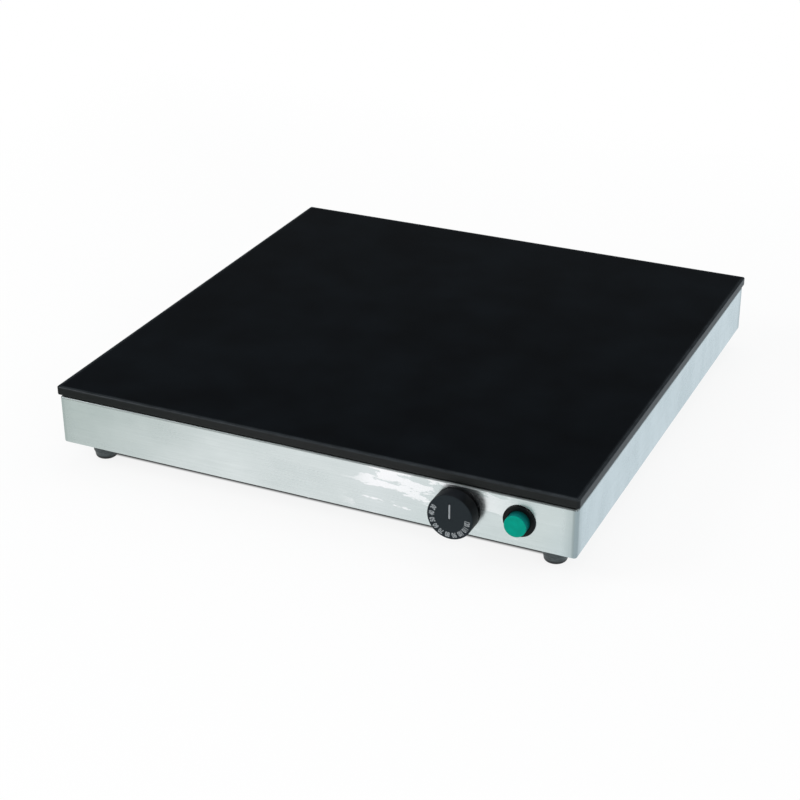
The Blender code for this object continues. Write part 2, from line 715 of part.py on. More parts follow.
def make_base_plate(plate):
    """Flat steel sheet that closes the casing from below, with two groups of vent slots."""
    width = CASING_WIDTH - 2 * BASE_SETBACK
    depth = CASING_DEPTH - 2 * BASE_SETBACK
    outline = rounded_rectangle(width, depth, BASE_CORNER_RADIUS)
    base = solid("base_plate", prism(outline, BASE_BOTTOM, BASE_TOP), GALVANISED, plate)
    bottom, top = BASE_BOTTOM - CUT_OVERRUN, BASE_TOP + CUT_OVERRUN
    foot_hole = FOOT_SCREW_RADIUS + HOLE_GAP
    screw_hole = BASE_SCREW_RADIUS + HOLE_GAP
    earth_hole = EARTH_SCREW_RADIUS + HOLE_GAP
    block_hole = BLOCK_SCREW_RADIUS + HOLE_GAP
    few = SMALL_ROUND_POINTS
    cuts = [rod(foot_hole, bottom, top, (x, y), few) for _, x, y in foot_places()]
    cuts += [rod(screw_hole, bottom, top, (x, y), few) for _, x, y in base_screw_places()]
    cuts += [rod(earth_hole, bottom, top, (EARTH_X, BACK - EARTH_SETBACK), few)]
    block_place = (BLOCK_X + BLOCK_SCREW_OFFSET, BACK - BLOCK_SETBACK)
    cuts += [rod(block_hole, bottom, top, block_place, few)]
    vent = slot(VENT_LENGTH, VENT_WIDTH)
    for side in (-1, 1):
        for i in range(VENT_COUNT):
            x = side * VENT_GROUP_X
            y = VENT_GROUP_Y + (i - (VENT_COUNT - 1) / 2) * VENT_PITCH
            cuts.append(prism([(x + a, y + b) for a, b in vent], bottom, top))
    combine(base, helper("base_holes", merged(*cuts), plate), "DIFFERENCE")


def make_feet(plate):
    """Tapered rubber feet with a recess for the screw, which runs up into a nut on the base plate."""
    bore = FOOT_SCREW_RADIUS + HOLE_GAP
    tread = FOOT_TREAD_RADIUS - FOOT_TREAD_ROUND
    crown = FOOT_TOP_RADIUS - FOOT_TOP_ROUND
    profile = [(FOOT_RECESS_RADIUS, 0)]
    profile += arc(tread, FOOT_TREAD_ROUND, FOOT_TREAD_ROUND, 270, 360)
    profile += arc(crown, FOOT_HEIGHT - FOOT_TOP_ROUND, FOOT_TOP_ROUND, 0, 90, 2)
    profile += [(bore, FOOT_HEIGHT), (bore, FOOT_RECESS_DEPTH), (FOOT_RECESS_RADIUS, FOOT_RECESS_DEPTH)]
    head_seat = FOOT_RECESS_DEPTH - SEAT_GAP
    nut_bottom = BASE_TOP + SEAT_GAP
    length = nut_bottom + FOOT_NUT_HEIGHT + FOOT_SCREW_STICKOUT - head_seat
    for name, x, y in foot_places():
        solid(f"foot_{name}", turned(profile, FOOT_POINTS), RUBBER, plate, (x, y, 0))
        screw(
            f"foot_screw_{name}",
            FOOT_SCREW_RADIUS,
            length,
            FOOT_SCREW_HEAD_RADIUS,
            FOOT_SCREW_HEAD_HEIGHT,
            ZINC_SCREW,
            plate,
            (x, y, head_seat),
            FACING_DOWN,
        )
        place = (x, y, nut_bottom)
        nut(f"foot_nut_{name}", FOOT_NUT_FLATS, FOOT_NUT_HEIGHT, bore, ZINC_SCREW, plate, place)


def make_base_screws(plate):
    for name, x, y in base_screw_places():
        screw(
            f"base_screw_{name}",
            BASE_SCREW_RADIUS,
            BASE_SCREW_LENGTH,
            BASE_SCREW_HEAD_RADIUS,
            BASE_SCREW_HEAD_HEIGHT,
            ZINC_SCREW,
            plate,
            (x, y, BASE_BOTTOM - SEAT_GAP),
            FACING_DOWN,
        )


def inner_outline(inset, corner_radius):
    """Outline of a layer that lies inset from the casing's outer faces."""
    width, depth = CASING_WIDTH - 2 * inset, CASING_DEPTH - 2 * inset
    return rounded_rectangle(width, depth, corner_radius, ARC_STEPS)


def make_heater(plate):
    """Heat spreader, heater mat with its lead junction, and the insulation pad notched over the controls."""
    outline = inner_outline(SEAL_SETBACK + SEAL_WIDTH + SPREADER_MARGIN, SPREADER_CORNER_RADIUS)
    spreader = prism(outline, SPREADER_BOTTOM, SPREADER_BOTTOM + SPREADER_THICKNESS)
    solid("heat_spreader", spreader, ALUMINIUM, plate)
    outline = inner_outline(TOP_FLANGE + MAT_MARGIN, MAT_CORNER_RADIUS)
    mat = solid("heater_mat", prism(outline, MAT_BOTTOM, MAT_BOTTOM + MAT_THICKNESS), HEATER_ORANGE, plate)
    bottom, top = MAT_BOTTOM - JUNCTION_HEIGHT, MAT_BOTTOM + MAT_THICKNESS / 2
    centre = (JUNCTION_X, FRONT + JUNCTION_INWARD)
    junction = block(JUNCTION_WIDTH, JUNCTION_DEPTH, bottom, top, centre)
    combine(mat, helper("heater_junction", junction, plate), "UNION")
    inset = TOP_FLANGE + PAD_MARGIN
    right, front, back = RIGHT - inset, FRONT + inset, BACK - inset
    notch_y = FRONT + PAD_NOTCH_INWARD
    outline = [(-right, front), (PAD_NOTCH_X, front), (PAD_NOTCH_X, notch_y)]
    outline += [(right, notch_y), (right, back), (-right, back)]
    pad = prism(outline, PAD_BOTTOM, PAD_BOTTOM + PAD_THICKNESS)
    solid("insulation_pad", pad, MINERAL_WOOL, plate)


def make_crossbars(plate):
    """Two channels from wall to wall that hold the insulation up, with end tabs welded to the walls."""
    half_width, height, sheet = CROSSBAR_WIDTH / 2, CROSSBAR_HEIGHT, CROSSBAR_SHEET
    outline = [(-half_width, -height), (-half_width, 0), (half_width, 0), (half_width, -height)]
    outline += [(half_width - sheet, -height), (half_width - sheet, -sheet)]
    outline += [(sheet - half_width, -sheet), (sheet - half_width, -height)]
    reach = CASING_WIDTH / 2 - SHEET - SEAT_GAP
    for name, y in (("front", FRONT + CROSSBAR_INWARD), ("rear", BACK - CROSSBAR_INWARD)):
        place = (0, y, CROSSBAR_TOP)
        bar = solid(f"crossbar_{name}", prism(outline, -reach, reach), GALVANISED, plate, place, ALONG_X)
        tabs = [
            block(CROSSBAR_WIDTH, CROSSBAR_TAB_HEIGHT, low, low + sheet, (0, -CROSSBAR_TAB_HEIGHT / 2))
            for low in (-reach, reach - sheet)
        ]
        combine(bar, helper(f"crossbar_{name}_tabs", merged(*tabs), plate, place, ALONG_X), "UNION")


def make_thermostat(plate, knob_axis):
    """Capillary thermostat screwed to the back of the front wall, with its shaft, bulb and strap."""
    back = PANEL_BACK - THERMOSTAT_DEPTH
    body = solid(
        "thermostat_body",
        block(THERMOSTAT_WIDTH, THERMOSTAT_HEIGHT, back, PANEL_BACK),
        IVORY_PLASTIC,
        knob_axis,
    )
    soften(body, THERMOSTAT_EDGE)
    additions = [rod(COLLAR_RADIUS, PANEL_BACK - JOIN_OVERLAP, COLLAR_FRONT)]
    for side in (-1, 1):
        centre = (0, side * THERMOSTAT_BLADE_RISE)
        blade = block(BLADE_WIDTH, BLADE_THICKNESS, back - BLADE_LENGTH, back + JOIN_OVERLAP, centre)
        additions.append(blade)
    combine(body, helper("thermostat_collar_and_blades", merged(*additions), knob_axis), "UNION")
    shaft_hole = SHAFT_RADIUS + RUN_GAP
    screw_hole = THERMOSTAT_SCREW_RADIUS + HOLE_GAP
    spacing = THERMOSTAT_SCREW_SPACING / 2
    bores = [rod(shaft_hole, -SHAFT_INSIDE - SEAT_GAP, COLLAR_FRONT + CUT_OVERRUN)]
    deep = -THERMOSTAT_SCREW_LENGTH - SEAT_GAP
    for side in (-1, 1):
        bores.append(rod(screw_hole, deep, CUT_OVERRUN, (side * spacing, 0)))
    combine(body, helper("thermostat_bores", merged(*bores), knob_axis), "DIFFERENCE")
    for name, side in (("left", -1), ("right", 1)):
        screw(
            f"thermostat_screw_{name}",
            THERMOSTAT_SCREW_RADIUS,
            THERMOSTAT_SCREW_LENGTH,
            THERMOSTAT_SCREW_HEAD_RADIUS,
            THERMOSTAT_SCREW_HEAD_HEIGHT,
            ZINC_SCREW,
            knob_axis,
            (side * spacing, 0, SEAT_GAP),
        )
    profile = [(0, -SHAFT_INSIDE), (SHAFT_RADIUS, -SHAFT_INSIDE)]
    profile += [(SHAFT_RADIUS, SHAFT_FRONT - SHAFT_CHAMFER), (SHAFT_RADIUS - SHAFT_CHAMFER, SHAFT_FRONT)]
    profile += [(0, SHAFT_FRONT)]
    shaft = solid("thermostat_shaft", turned(profile), BRASS, knob_axis)
    flat = SHAFT_RADIUS - SHAFT_FLAT_DEPTH
    centre = (0, flat + SHAFT_RADIUS / 2)
    bottom, top = SHAFT_FRONT - SHAFT_FLAT_LENGTH, SHAFT_FRONT + CUT_OVERRUN
    cutter = block(4 * SHAFT_RADIUS, SHAFT_RADIUS, bottom, top, centre)
    combine(shaft, helper("shaft_flat", cutter, knob_axis), "DIFFERENCE")
    make_bulb(plate)


def make_bulb(plate):
    """Sensing bulb strapped to the underside of the heater mat, and the capillary that feeds it."""
    bulb_z = MAT_BOTTOM - SEAT_GAP - BULB_RADIUS
    bulb_y = FRONT + BULB_INWARD
    shoulder = BULB_RADIUS / 2
    profile = [(0, 0), (shoulder, 0), (BULB_RADIUS, shoulder), (BULB_RADIUS, BULB_LENGTH - shoulder)]
    profile += [(shoulder, BULB_LENGTH), (0, BULB_LENGTH)]
    place = (BULB_X, bulb_y, bulb_z)
    solid("sensing_bulb", turned(profile, SMALL_ROUND_POINTS), COPPER, plate, place, ALONG_X)
    inner = BULB_RADIUS + SEAT_GAP
    outer = inner + STRAP_THICKNESS
    foot_top = BULB_RADIUS
    foot_bottom = foot_top - STRAP_THICKNESS
    outline = [(-STRAP_FOOT_REACH, foot_top), (-inner, foot_top)]
    outline += arc(0, 0, inner, 180, 360, STRAP_STEPS)
    outline += [(inner, foot_top), (STRAP_FOOT_REACH, foot_top), (STRAP_FOOT_REACH, foot_bottom)]
    outline += [(outer, foot_bottom)]
    outline += arc(0, 0, outer, 360, 180, STRAP_STEPS)
    outline += [(-outer, foot_bottom), (-STRAP_FOOT_REACH, foot_bottom)]
    middle = (BULB_X + BULB_LENGTH / 2 - STRAP_WIDTH / 2, bulb_y, bulb_z)
    solid("bulb_clip", prism(outline, 0, STRAP_WIDTH), SPRING_STEEL, plate, middle, ALONG_X)
    leaving = (
        KNOB_X - CAPILLARY_EXIT_X,
        FRONT - PANEL_BACK + THERMOSTAT_DEPTH + SEAT_GAP,
        KNOB_Z + CAPILLARY_EXIT_RISE,
    )
    arriving = (BULB_X - SEAT_GAP, bulb_y, bulb_z)
    route = [leaving, *near(leaving, CAPILLARY_FROM_THERMOSTAT)]
    route += [*near(arriving, CAPILLARY_TO_BULB), arriving]
    tube("capillary_tube", route, CAPILLARY_RADIUS, COPPER, plate)


def make_knob(knob_axis):
    """Black knob with a D-bored boss, and the spring clip that grips the boss."""
    cavity_front = KNOB_RIM_FRONT - KNOB_FRONT_WALL
    cavity_radius = KNOB_RADIUS - KNOB_WALL
    boss_back = KNOB_STANDOFF + KNOB_BOSS_SETBACK
    edge = KNOB_EDGE_ROUND
    back_round = KNOB_WALL / 4
    # The crown falls off with the square of the distance from the axis
    reaches = [step / CROWN_STEPS for step in range(CROWN_STEPS)]
    profile = [((KNOB_RADIUS - edge) * t, KNOB_RIM_FRONT + KNOB_CROWN * (1 - t * t)) for t in reaches]
    profile += arc(KNOB_RADIUS - edge, KNOB_RIM_FRONT - edge, edge, 90, 0)
    profile += [(KNOB_RADIUS, KNOB_STANDOFF + back_round), (KNOB_RADIUS - back_round, KNOB_STANDOFF)]
    profile += [(cavity_radius, KNOB_STANDOFF), (cavity_radius, cavity_front)]
    profile += [(KNOB_BOSS_RADIUS, cavity_front), (KNOB_BOSS_RADIUS, boss_back), (0, boss_back)]
    knob = solid("knob", turned(profile, LARGE_ROUND_POINTS), KNOB_BLACK, knob_axis)
    bore_radius = SHAFT_RADIUS + SEAT_GAP
    flat = SHAFT_RADIUS - SHAFT_FLAT_DEPTH + SEAT_GAP
    outline = [(x, min(y, flat)) for x, y in circle(bore_radius)]
    outline = [point for i, point in enumerate(outline) if point != outline[i - 1]]
    front = SHAFT_FRONT + SEAT_GAP
    round_front = SHAFT_FRONT - SHAFT_FLAT_LENGTH - SEAT_GAP
    bore = helper("knob_bore", prism(outline, boss_back - CUT_OVERRUN, front), knob_axis)
    combine(knob, bore, "DIFFERENCE")
    mouth = rod(bore_radius, boss_back - 2 * CUT_OVERRUN, max(round_front, boss_back) + SEAT_GAP)
    combine(knob, helper("knob_bore_mouth", mouth, knob_axis), "DIFFERENCE")
    inner = KNOB_BOSS_RADIUS + SEAT_GAP
    outer = inner + CLIP_THICKNESS
    start, end = CLIP_OPENING / 2, 360 - CLIP_OPENING / 2
    outline = arc(0, 0, outer, start, end, CLIP_STEPS) + arc(0, 0, inner, end, start, CLIP_STEPS)
    clip = prism(outline, CLIP_STANDOFF, CLIP_STANDOFF + CLIP_LENGTH)
    solid("knob_clip", clip, SPRING_STEEL, knob_axis)


def make_cutout(plate):
    """Overheat cut-out: a small disc thermostat held against the heater mat."""
    top = MAT_BOTTOM - SEAT_GAP
    body_bottom = -CUTOUT_FLANGE_THICKNESS - CUTOUT_HEIGHT
    profile = [(0, 0), (CUTOUT_FLANGE_RADIUS, 0), (CUTOUT_FLANGE_RADIUS, -CUTOUT_FLANGE_THICKNESS)]
    profile += [(CUTOUT_RADIUS, -CUTOUT_FLANGE_THICKNESS), (CUTOUT_RADIUS, body_bottom), (0, body_bottom)]
    place = (CUTOUT_X, FRONT + CUTOUT_INWARD, top)
    cutout = solid("overheat_cutout", turned(profile), NYLON_GREY, plate, place)
    blades = [
        block(
            BLADE_THICKNESS,
            BLADE_WIDTH,
            body_bottom - BLADE_LENGTH,
            body_bottom + JOIN_OVERLAP,
            (side * CUTOUT_BLADE_SPACING / 2, 0),
        )
        for side in (-1, 1)
    ]
    combine(cutout, helper("cutout_blades", merged(*blades), plate, place), "UNION")


def make_button(button_axis):
    """Illuminated push button: the cap and its carrier slide in the bezel's sleeve against a spring."""
    bore = CAP_RADIUS + RUN_GAP
    lip_front = -LIP_FRONT_INSIDE
    lip_back = lip_front - LIP_THICKNESS
    sleeve_back = -SLEEVE_INSIDE
    profile = arc(BEZEL_RADIUS - BEZEL_ROUND, BEZEL_FRONT - BEZEL_ROUND, BEZEL_ROUND, 90, 0, 3)
    profile += [(BEZEL_RADIUS, SEAT_GAP), (SLEEVE_RADIUS, SEAT_GAP), (SLEEVE_RADIUS, sleeve_back)]
    profile += [(bore, sleeve_back), (bore, lip_back), (LIP_RADIUS, lip_back), (LIP_RADIUS, lip_front)]
    profile += [(bore, lip_front), (bore, BEZEL_FRONT - BEZEL_BORE_CHAMFER)]
    profile += [(bore + BEZEL_BORE_CHAMFER, BEZEL_FRONT)]
    solid("button_bezel", turned(profile, LARGE_ROUND_POINTS), BEZEL_BLACK, button_axis)
    nut(
        "button_nut",
        BUTTON_NUT_FLATS,
        BUTTON_NUT_HEIGHT,
        SLEEVE_RADIUS + HOLE_GAP,
        BEZEL_BLACK,
        button_axis,
        (0, 0, PANEL_BACK - BUTTON_NUT_HEIGHT),
        ROUND_POINTS,
    )
    cap_front = BEZEL_FRONT + CAP_PROTRUSION
    cap_inner = CAP_RADIUS - CAP_WALL
    ceiling = cap_front - CAP_FRONT_WALL
    profile = [(0, cap_front)]
    profile += arc(CAP_RADIUS - CAP_ROUND, cap_front - CAP_ROUND, CAP_ROUND, 90, 0, 3)
    profile += [(CAP_RADIUS, -CAP_INSIDE), (cap_inner, -CAP_INSIDE), (cap_inner, ceiling), (0, ceiling)]
    solid("button_cap", turned(profile, LARGE_ROUND_POINTS), BUTTON_GREEN, button_axis)
    sleeve = cap_inner - SEAT_GAP
    stop_front = lip_back - SEAT_GAP
    stop_back = stop_front - CARRIER_STOP_THICKNESS
    tail = -SWITCH_BOSS_INSIDE + SEAT_GAP + BUTTON_TRAVEL
    profile = [(CARRIER_BORE_RADIUS, ceiling - SEAT_GAP), (sleeve, ceiling - SEAT_GAP), (sleeve, stop_front)]
    profile += [(CARRIER_STOP_RADIUS, stop_front), (CARRIER_STOP_RADIUS, stop_back)]
    profile += [(CARRIER_TAIL_RADIUS, stop_back), (CARRIER_TAIL_RADIUS, tail), (CARRIER_BORE_RADIUS, tail)]
    solid("button_carrier", turned(profile), NYLON_GREY, button_axis)
    make_spring(button_axis, stop_back - SEAT_GAP, SEAT_GAP - SWITCH_BOSS_INSIDE)
    make_switch(button_axis)


def make_spring(button_axis, front, back):
    """Return spring between the carrier's stop and the switch, wound on a plain helix."""
    mean_radius = (CARRIER_TAIL_RADIUS + CAP_RADIUS) / 2
    points = SPRING_COIL_POINTS * SPRING_COILS
    top, bottom = front - SPRING_WIRE_RADIUS, back + SPRING_WIRE_RADIUS
    route = []
    for i in range(points + 1):
        angle = math.tau * i / SPRING_COIL_POINTS
        z = bottom + (top - bottom) * i / points
        route.append((mean_radius * math.cos(angle), mean_radius * math.sin(angle), z))
    tube("button_spring", route, SPRING_WIRE_RADIUS, SPRING_STEEL, button_axis, 1, 1)


def make_switch(button_axis):
    """Contact block clipped to the sleeve's end, and the neon lamp that stands in the carrier."""
    front = -SWITCH_BOSS_INSIDE
    body_front = -SLEEVE_INSIDE - SEAT_GAP
    body_back = body_front - SWITCH_DEPTH
    shape = block(SWITCH_WIDTH, SWITCH_HEIGHT, body_back, body_front)
    body = solid("switch_body", shape, NYLON_GREY, button_axis)
    soften(body, SWITCH_EDGE)
    additions = [rod(CAP_RADIUS, body_front - JOIN_OVERLAP, front)]
    for side in (-1, 1):
        centre = (0, side * SWITCH_BLADE_RISE)
        end = body_back - BLADE_LENGTH
        additions.append(block(BLADE_WIDTH, BLADE_THICKNESS, end, body_back + JOIN_OVERLAP, centre))
    combine(body, helper("switch_boss_and_blades", merged(*additions), button_axis), "UNION")
    lamp_base = front + SEAT_GAP
    dome = lamp_base + LAMP_LENGTH - LAMP_RADIUS
    profile = [(0, lamp_base), (LAMP_RADIUS, lamp_base), *arc(0, dome, LAMP_RADIUS, 0, 60)]
    profile.append((0, dome + LAMP_RADIUS))
    solid("indicator_lamp", turned(profile, SMALL_ROUND_POINTS), LAMP_GLASS, button_axis)


def make_gland(gland_axis):
    """Cable gland: body, rubber seal, domed nut outside the back wall and lock nut inside it."""
    flange_front = SEAT_GAP + GLAND_FLANGE
    thread_front = flange_front + GLAND_FRONT_THREAD
    seal_bore = GLAND_SEAL_RADIUS + SEAT_GAP
    seat = flange_front + GLAND_SEAL_STEP
    thread = circle(GLAND_THREAD_RADIUS)
    flats = hexagon(GLAND_FLATS)
    bore = circle(GLAND_BORE_RADIUS)
    pocket = circle(seal_bore)
    rings = [
        at_height(bore, -GLAND_REAR_THREAD),
        at_height(thread, -GLAND_REAR_THREAD),
        at_height(thread, SEAT_GAP),
        at_height(flats, SEAT_GAP),
        at_height(flats, flange_front),
        at_height(thread, flange_front),
        at_height(thread, thread_front),
        at_height(pocket, thread_front),
        at_height(pocket, seat),
        at_height(bore, seat),
    ]
    solid("gland_body", skinned(rings, looped=True), NYLON_GREY, gland_axis)
    seal_back, seal_front = seat + SEAT_GAP, thread_front - SEAT_GAP
    outer, inner = circle(GLAND_SEAL_RADIUS), circle(GLAND_SEAL_BORE_RADIUS)
    rings = [at_height(inner, seal_back), at_height(outer, seal_back)]
    rings += [at_height(outer, seal_front), at_height(inner, seal_front)]
    solid("gland_seal", skinned(rings, looped=True), RUBBER, gland_axis)
    skirt_front = GLAND_NUT_BACK + GLAND_NUT_SKIRT
    inside = circle(GLAND_THREAD_RADIUS + HOLE_GAP)
    shoulder = GLAND_DOME / ARC_STEPS
    rings = [at_height(inside, GLAND_NUT_BACK), at_height(flats, GLAND_NUT_BACK)]
    rings += [at_height(flats, skirt_front - shoulder), at_height(circle(GLAND_DOME_RADIUS), skirt_front)]
    drop = GLAND_DOME_RADIUS - GLAND_DOME_LIP_RADIUS
    for angle in (30, 60, 90):
        radius = GLAND_DOME_LIP_RADIUS + drop * math.cos(math.radians(angle))
        height = skirt_front + GLAND_DOME * math.sin(math.radians(angle))
        rings.append(at_height(circle(radius), height))
    rings += [at_height(bore, GLAND_REACH), at_height(bore, skirt_front), at_height(inside, skirt_front)]
    solid("gland_dome_nut", skinned(rings, looped=True), NYLON_GREY, gland_axis)
    nut(
        "gland_locknut",
        GLAND_FLATS,
        LOCKNUT_HEIGHT,
        GLAND_THREAD_RADIUS + HOLE_GAP,
        NYLON_GREY,
        gland_axis,
        (0, 0, PANEL_BACK - LOCKNUT_HEIGHT),
        ROUND_POINTS,
    )


def block_port_x(index):
    """Where the terminal block's three ports lie, from left to right."""
    return BLOCK_X + (index - 1) * BLOCK_PORT_PITCH


def make_terminals(plate):
    """Terminal block screwed to the base plate, and the earth screw with its nut beside it."""
    bottom = FLOOR_OF_CASING
    centre = (BLOCK_X, BACK - BLOCK_SETBACK)
    shape = block(BLOCK_WIDTH, BLOCK_DEPTH, bottom, bottom + BLOCK_HEIGHT, centre)
    terminal_block = solid("terminal_block", shape, IVORY_PLASTIC, plate)
    soften(terminal_block, BLOCK_EDGE)
    screw_place = (BLOCK_X + BLOCK_SCREW_OFFSET, centre[1])
    hole = BLOCK_SCREW_RADIUS + HOLE_GAP
    top = bottom + BLOCK_HEIGHT + CUT_OVERRUN
    screw_hole = rod(hole, bottom - CUT_OVERRUN, top, screw_place, SMALL_ROUND_POINTS)
    combine(terminal_block, helper("block_screw_hole", screw_hole, plate), "DIFFERENCE")
    port_z = bottom + BLOCK_PORT_RISE
    reach = BLOCK_DEPTH / 2 + CUT_OVERRUN
    ports = [
        rod(BLOCK_PORT_RADIUS, -reach, reach, (block_port_x(i), 0), SMALL_ROUND_POINTS)
        for i in range(3)
    ]
    place = (0, centre[1], port_z)
    combine(terminal_block, helper("block_ports", merged(*ports), plate, place, FACING_FRONT), "DIFFERENCE")
    head_seat = bottom + BLOCK_HEIGHT + SEAT_GAP
    screw(
        "terminal_block_screw",
        BLOCK_SCREW_RADIUS,
        head_seat - BASE_BOTTOM + BLOCK_SCREW_RADIUS,
        BLOCK_SCREW_HEAD_RADIUS,
        BLOCK_SCREW_HEAD_HEIGHT,
        ZINC_SCREW,
        plate,
        (*screw_place, head_seat),
    )
    earth_y = BACK - EARTH_SETBACK
    nut_bottom = BASE_TOP + SEAT_GAP
    length = BASE_THICKNESS + 2 * SEAT_GAP + EARTH_NUT_HEIGHT + EARTH_SCREW_RADIUS
    screw(
        "earth_screw",
        EARTH_SCREW_RADIUS,
        length,
        BASE_SCREW_HEAD_RADIUS,
        BASE_SCREW_HEAD_HEIGHT,
        ZINC_SCREW,
        plate,
        (EARTH_X, earth_y, BASE_BOTTOM - SEAT_GAP),
        FACING_DOWN,
    )
    bore = EARTH_SCREW_RADIUS + HOLE_GAP
    nut("earth_nut", EARTH_NUT_FLATS, EARTH_NUT_HEIGHT, bore, BRASS, plate, (EARTH_X, earth_y, nut_bottom))


def wire(name, start, from_start, to_end, end, look, plate):
    """An internal wire that leaves both of its terminals straight and runs over the base plate between them.
    A terminal is a place with the direction in which the wire leaves it."""
    place, way = start
    last_place, last_way = end
    floor = (*place[:2], FLOOR_OF_CASING)
    last_floor = (*last_place[:2], FLOOR_OF_CASING)
    route = [place, *near(place, [[WIRE_LEAD * step for step in way]]), *near(floor, from_start)]
    route += [*near(last_floor, to_end), *near(last_place, [[WIRE_LEAD * step for step in last_way]])]
    tube(name, [*route, last_place], WIRE_RADIUS, look, plate)


def make_wires(plate):
    """Internal wires along their real routes, each ending just short of its terminal."""
    forward, backward, down, right = (0, -1, 0), (0, 1, 0), (0, 0, -1), (1, 0, 0)
    port_y = BACK - BLOCK_SETBACK - BLOCK_DEPTH / 2 + WIRE_INSERT
    port_z = FLOOR_OF_CASING + BLOCK_PORT_RISE
    port_earth, port_neutral, port_live = [((block_port_x(i), port_y, port_z), forward) for i in range(3)]
    switch_y = FRONT + SLEEVE_INSIDE + 2 * SEAT_GAP + SWITCH_DEPTH + BLADE_LENGTH
    switch_high = ((BUTTON_X, switch_y, BUTTON_Z + SWITCH_BLADE_RISE), backward)
    switch_low = ((BUTTON_X, switch_y, BUTTON_Z - SWITCH_BLADE_RISE), backward)
    thermostat_y = FRONT - PANEL_BACK + THERMOSTAT_DEPTH + BLADE_LENGTH + SEAT_GAP
    thermostat_high = ((KNOB_X, thermostat_y, KNOB_Z + THERMOSTAT_BLADE_RISE), backward)
    thermostat_low = ((KNOB_X, thermostat_y, KNOB_Z - THERMOSTAT_BLADE_RISE), backward)
    cutout_y = FRONT + CUTOUT_INWARD
    cutout_z = MAT_BOTTOM - CUTOUT_FLANGE_THICKNESS - CUTOUT_HEIGHT - BLADE_LENGTH - 2 * SEAT_GAP
    cutout_left = ((CUTOUT_X - CUTOUT_BLADE_SPACING / 2, cutout_y, cutout_z), down)
    cutout_right = ((CUTOUT_X + CUTOUT_BLADE_SPACING / 2, cutout_y, cutout_z), down)
    junction_y = FRONT + JUNCTION_INWARD
    junction_z = MAT_BOTTOM - JUNCTION_HEIGHT - SEAT_GAP
    junction_left = ((JUNCTION_X - JUNCTION_WIDTH / 4, junction_y, junction_z), down)
    junction_right = ((JUNCTION_X + JUNCTION_WIDTH / 4, junction_y, junction_z), down)
    earth_x = EARTH_X + EARTH_NUT_FLATS / 2 + SEAT_GAP
    earth_z = BASE_TOP + SEAT_GAP + EARTH_NUT_HEIGHT / 2
    earth = ((earth_x, BACK - EARTH_SETBACK, earth_z), right)
    wire("wire_live", port_live, LIVE_FROM_BLOCK, LIVE_TO_SWITCH, switch_low, BROWN_WIRE, plate)
    wire(
        "wire_switched",
        switch_high,
        SWITCHED_FROM_SWITCH,
        SWITCHED_TO_THERMOSTAT,
        thermostat_high,
        BROWN_WIRE,
        plate,
    )
    wire(
        "wire_regulated",
        thermostat_low,
        REGULATED_FROM_THERMOSTAT,
        REGULATED_TO_CUTOUT,
        cutout_right,
        WHITE_WIRE,
        plate,
    )
    wire(
        "wire_heater",
        cutout_left,
        HEATER_FROM_CUTOUT,
        HEATER_TO_JUNCTION,
        junction_right,
        WHITE_WIRE,
        plate,
    )
    wire(
        "wire_neutral",
        port_neutral,
        NEUTRAL_FROM_BLOCK,
        NEUTRAL_TO_JUNCTION,
        junction_left,
        BLUE_WIRE,
        plate,
    )
    wire("wire_earth", port_earth, EARTH_FROM_BLOCK, [], earth, EARTH_WIRE, plate)


def main():
    clear_scene()
    plate, knob_axis, button_axis, gland_axis = carriers()
    make_glass(plate)
    make_casing(plate, knob_axis, button_axis, gland_axis)
    make_base_plate(plate)
    make_base_screws(plate)
    make_feet(plate)
    make_heater(plate)
    make_crossbars(plate)
    make_thermostat(plate, knob_axis)
    make_knob(knob_axis)
    make_cutout(plate)
    make_button(button_axis)
    make_gland(gland_axis)
    make_terminals(plate)
    make_wires(plate)


main()
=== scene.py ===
"""Looks of a buffet hot plate: a sheet of black glass on a brushed stainless casing, with a thermostat knob
and a lit push button on its front, a cable gland behind and rubber feet below.

Lengths are in metres, in the frame of the CAD model. Every new piece is a surface that numpy works out on a
grid, and it replaces the CAD node that it stands for. All other CAD nodes keep their shape and get a finish.
"""

import bmesh
import bpy
import numpy as np
from mathutils import Matrix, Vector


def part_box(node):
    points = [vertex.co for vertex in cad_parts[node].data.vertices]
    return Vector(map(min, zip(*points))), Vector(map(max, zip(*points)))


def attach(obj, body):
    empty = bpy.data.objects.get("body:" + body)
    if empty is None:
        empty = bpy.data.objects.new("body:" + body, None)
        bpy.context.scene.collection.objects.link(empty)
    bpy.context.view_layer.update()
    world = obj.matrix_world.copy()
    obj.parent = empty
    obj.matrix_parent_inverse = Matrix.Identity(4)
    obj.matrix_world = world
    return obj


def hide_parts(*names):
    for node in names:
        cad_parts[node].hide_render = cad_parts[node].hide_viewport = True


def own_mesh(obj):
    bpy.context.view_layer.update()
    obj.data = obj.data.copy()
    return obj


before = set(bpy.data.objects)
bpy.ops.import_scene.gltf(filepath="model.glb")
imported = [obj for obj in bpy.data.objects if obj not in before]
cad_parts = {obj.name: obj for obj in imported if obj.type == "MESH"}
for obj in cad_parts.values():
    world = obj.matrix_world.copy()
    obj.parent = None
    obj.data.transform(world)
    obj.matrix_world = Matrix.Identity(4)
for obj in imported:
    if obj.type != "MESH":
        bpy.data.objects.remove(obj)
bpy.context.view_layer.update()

MM = 0.001
WELD = 1e-7
# Rows of points are kept this close to each round, so that flats shade flat
GUARD = 0.15 * MM
SHARP_ANGLE = np.radians(32)


def box_of(node):
    """Low and high corner of a CAD node's box."""
    return np.array(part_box(node))


CASING_LOW, CASING_HIGH = box_of("casing")
PLATE_X, PLATE_Y = (CASING_LOW + CASING_HIGH)[:2] / 2
CASING_WIDTH, CASING_DEPTH, CASING_HEIGHT = CASING_HIGH - CASING_LOW
FRONT, BACK = CASING_LOW[1], CASING_HIGH[1]


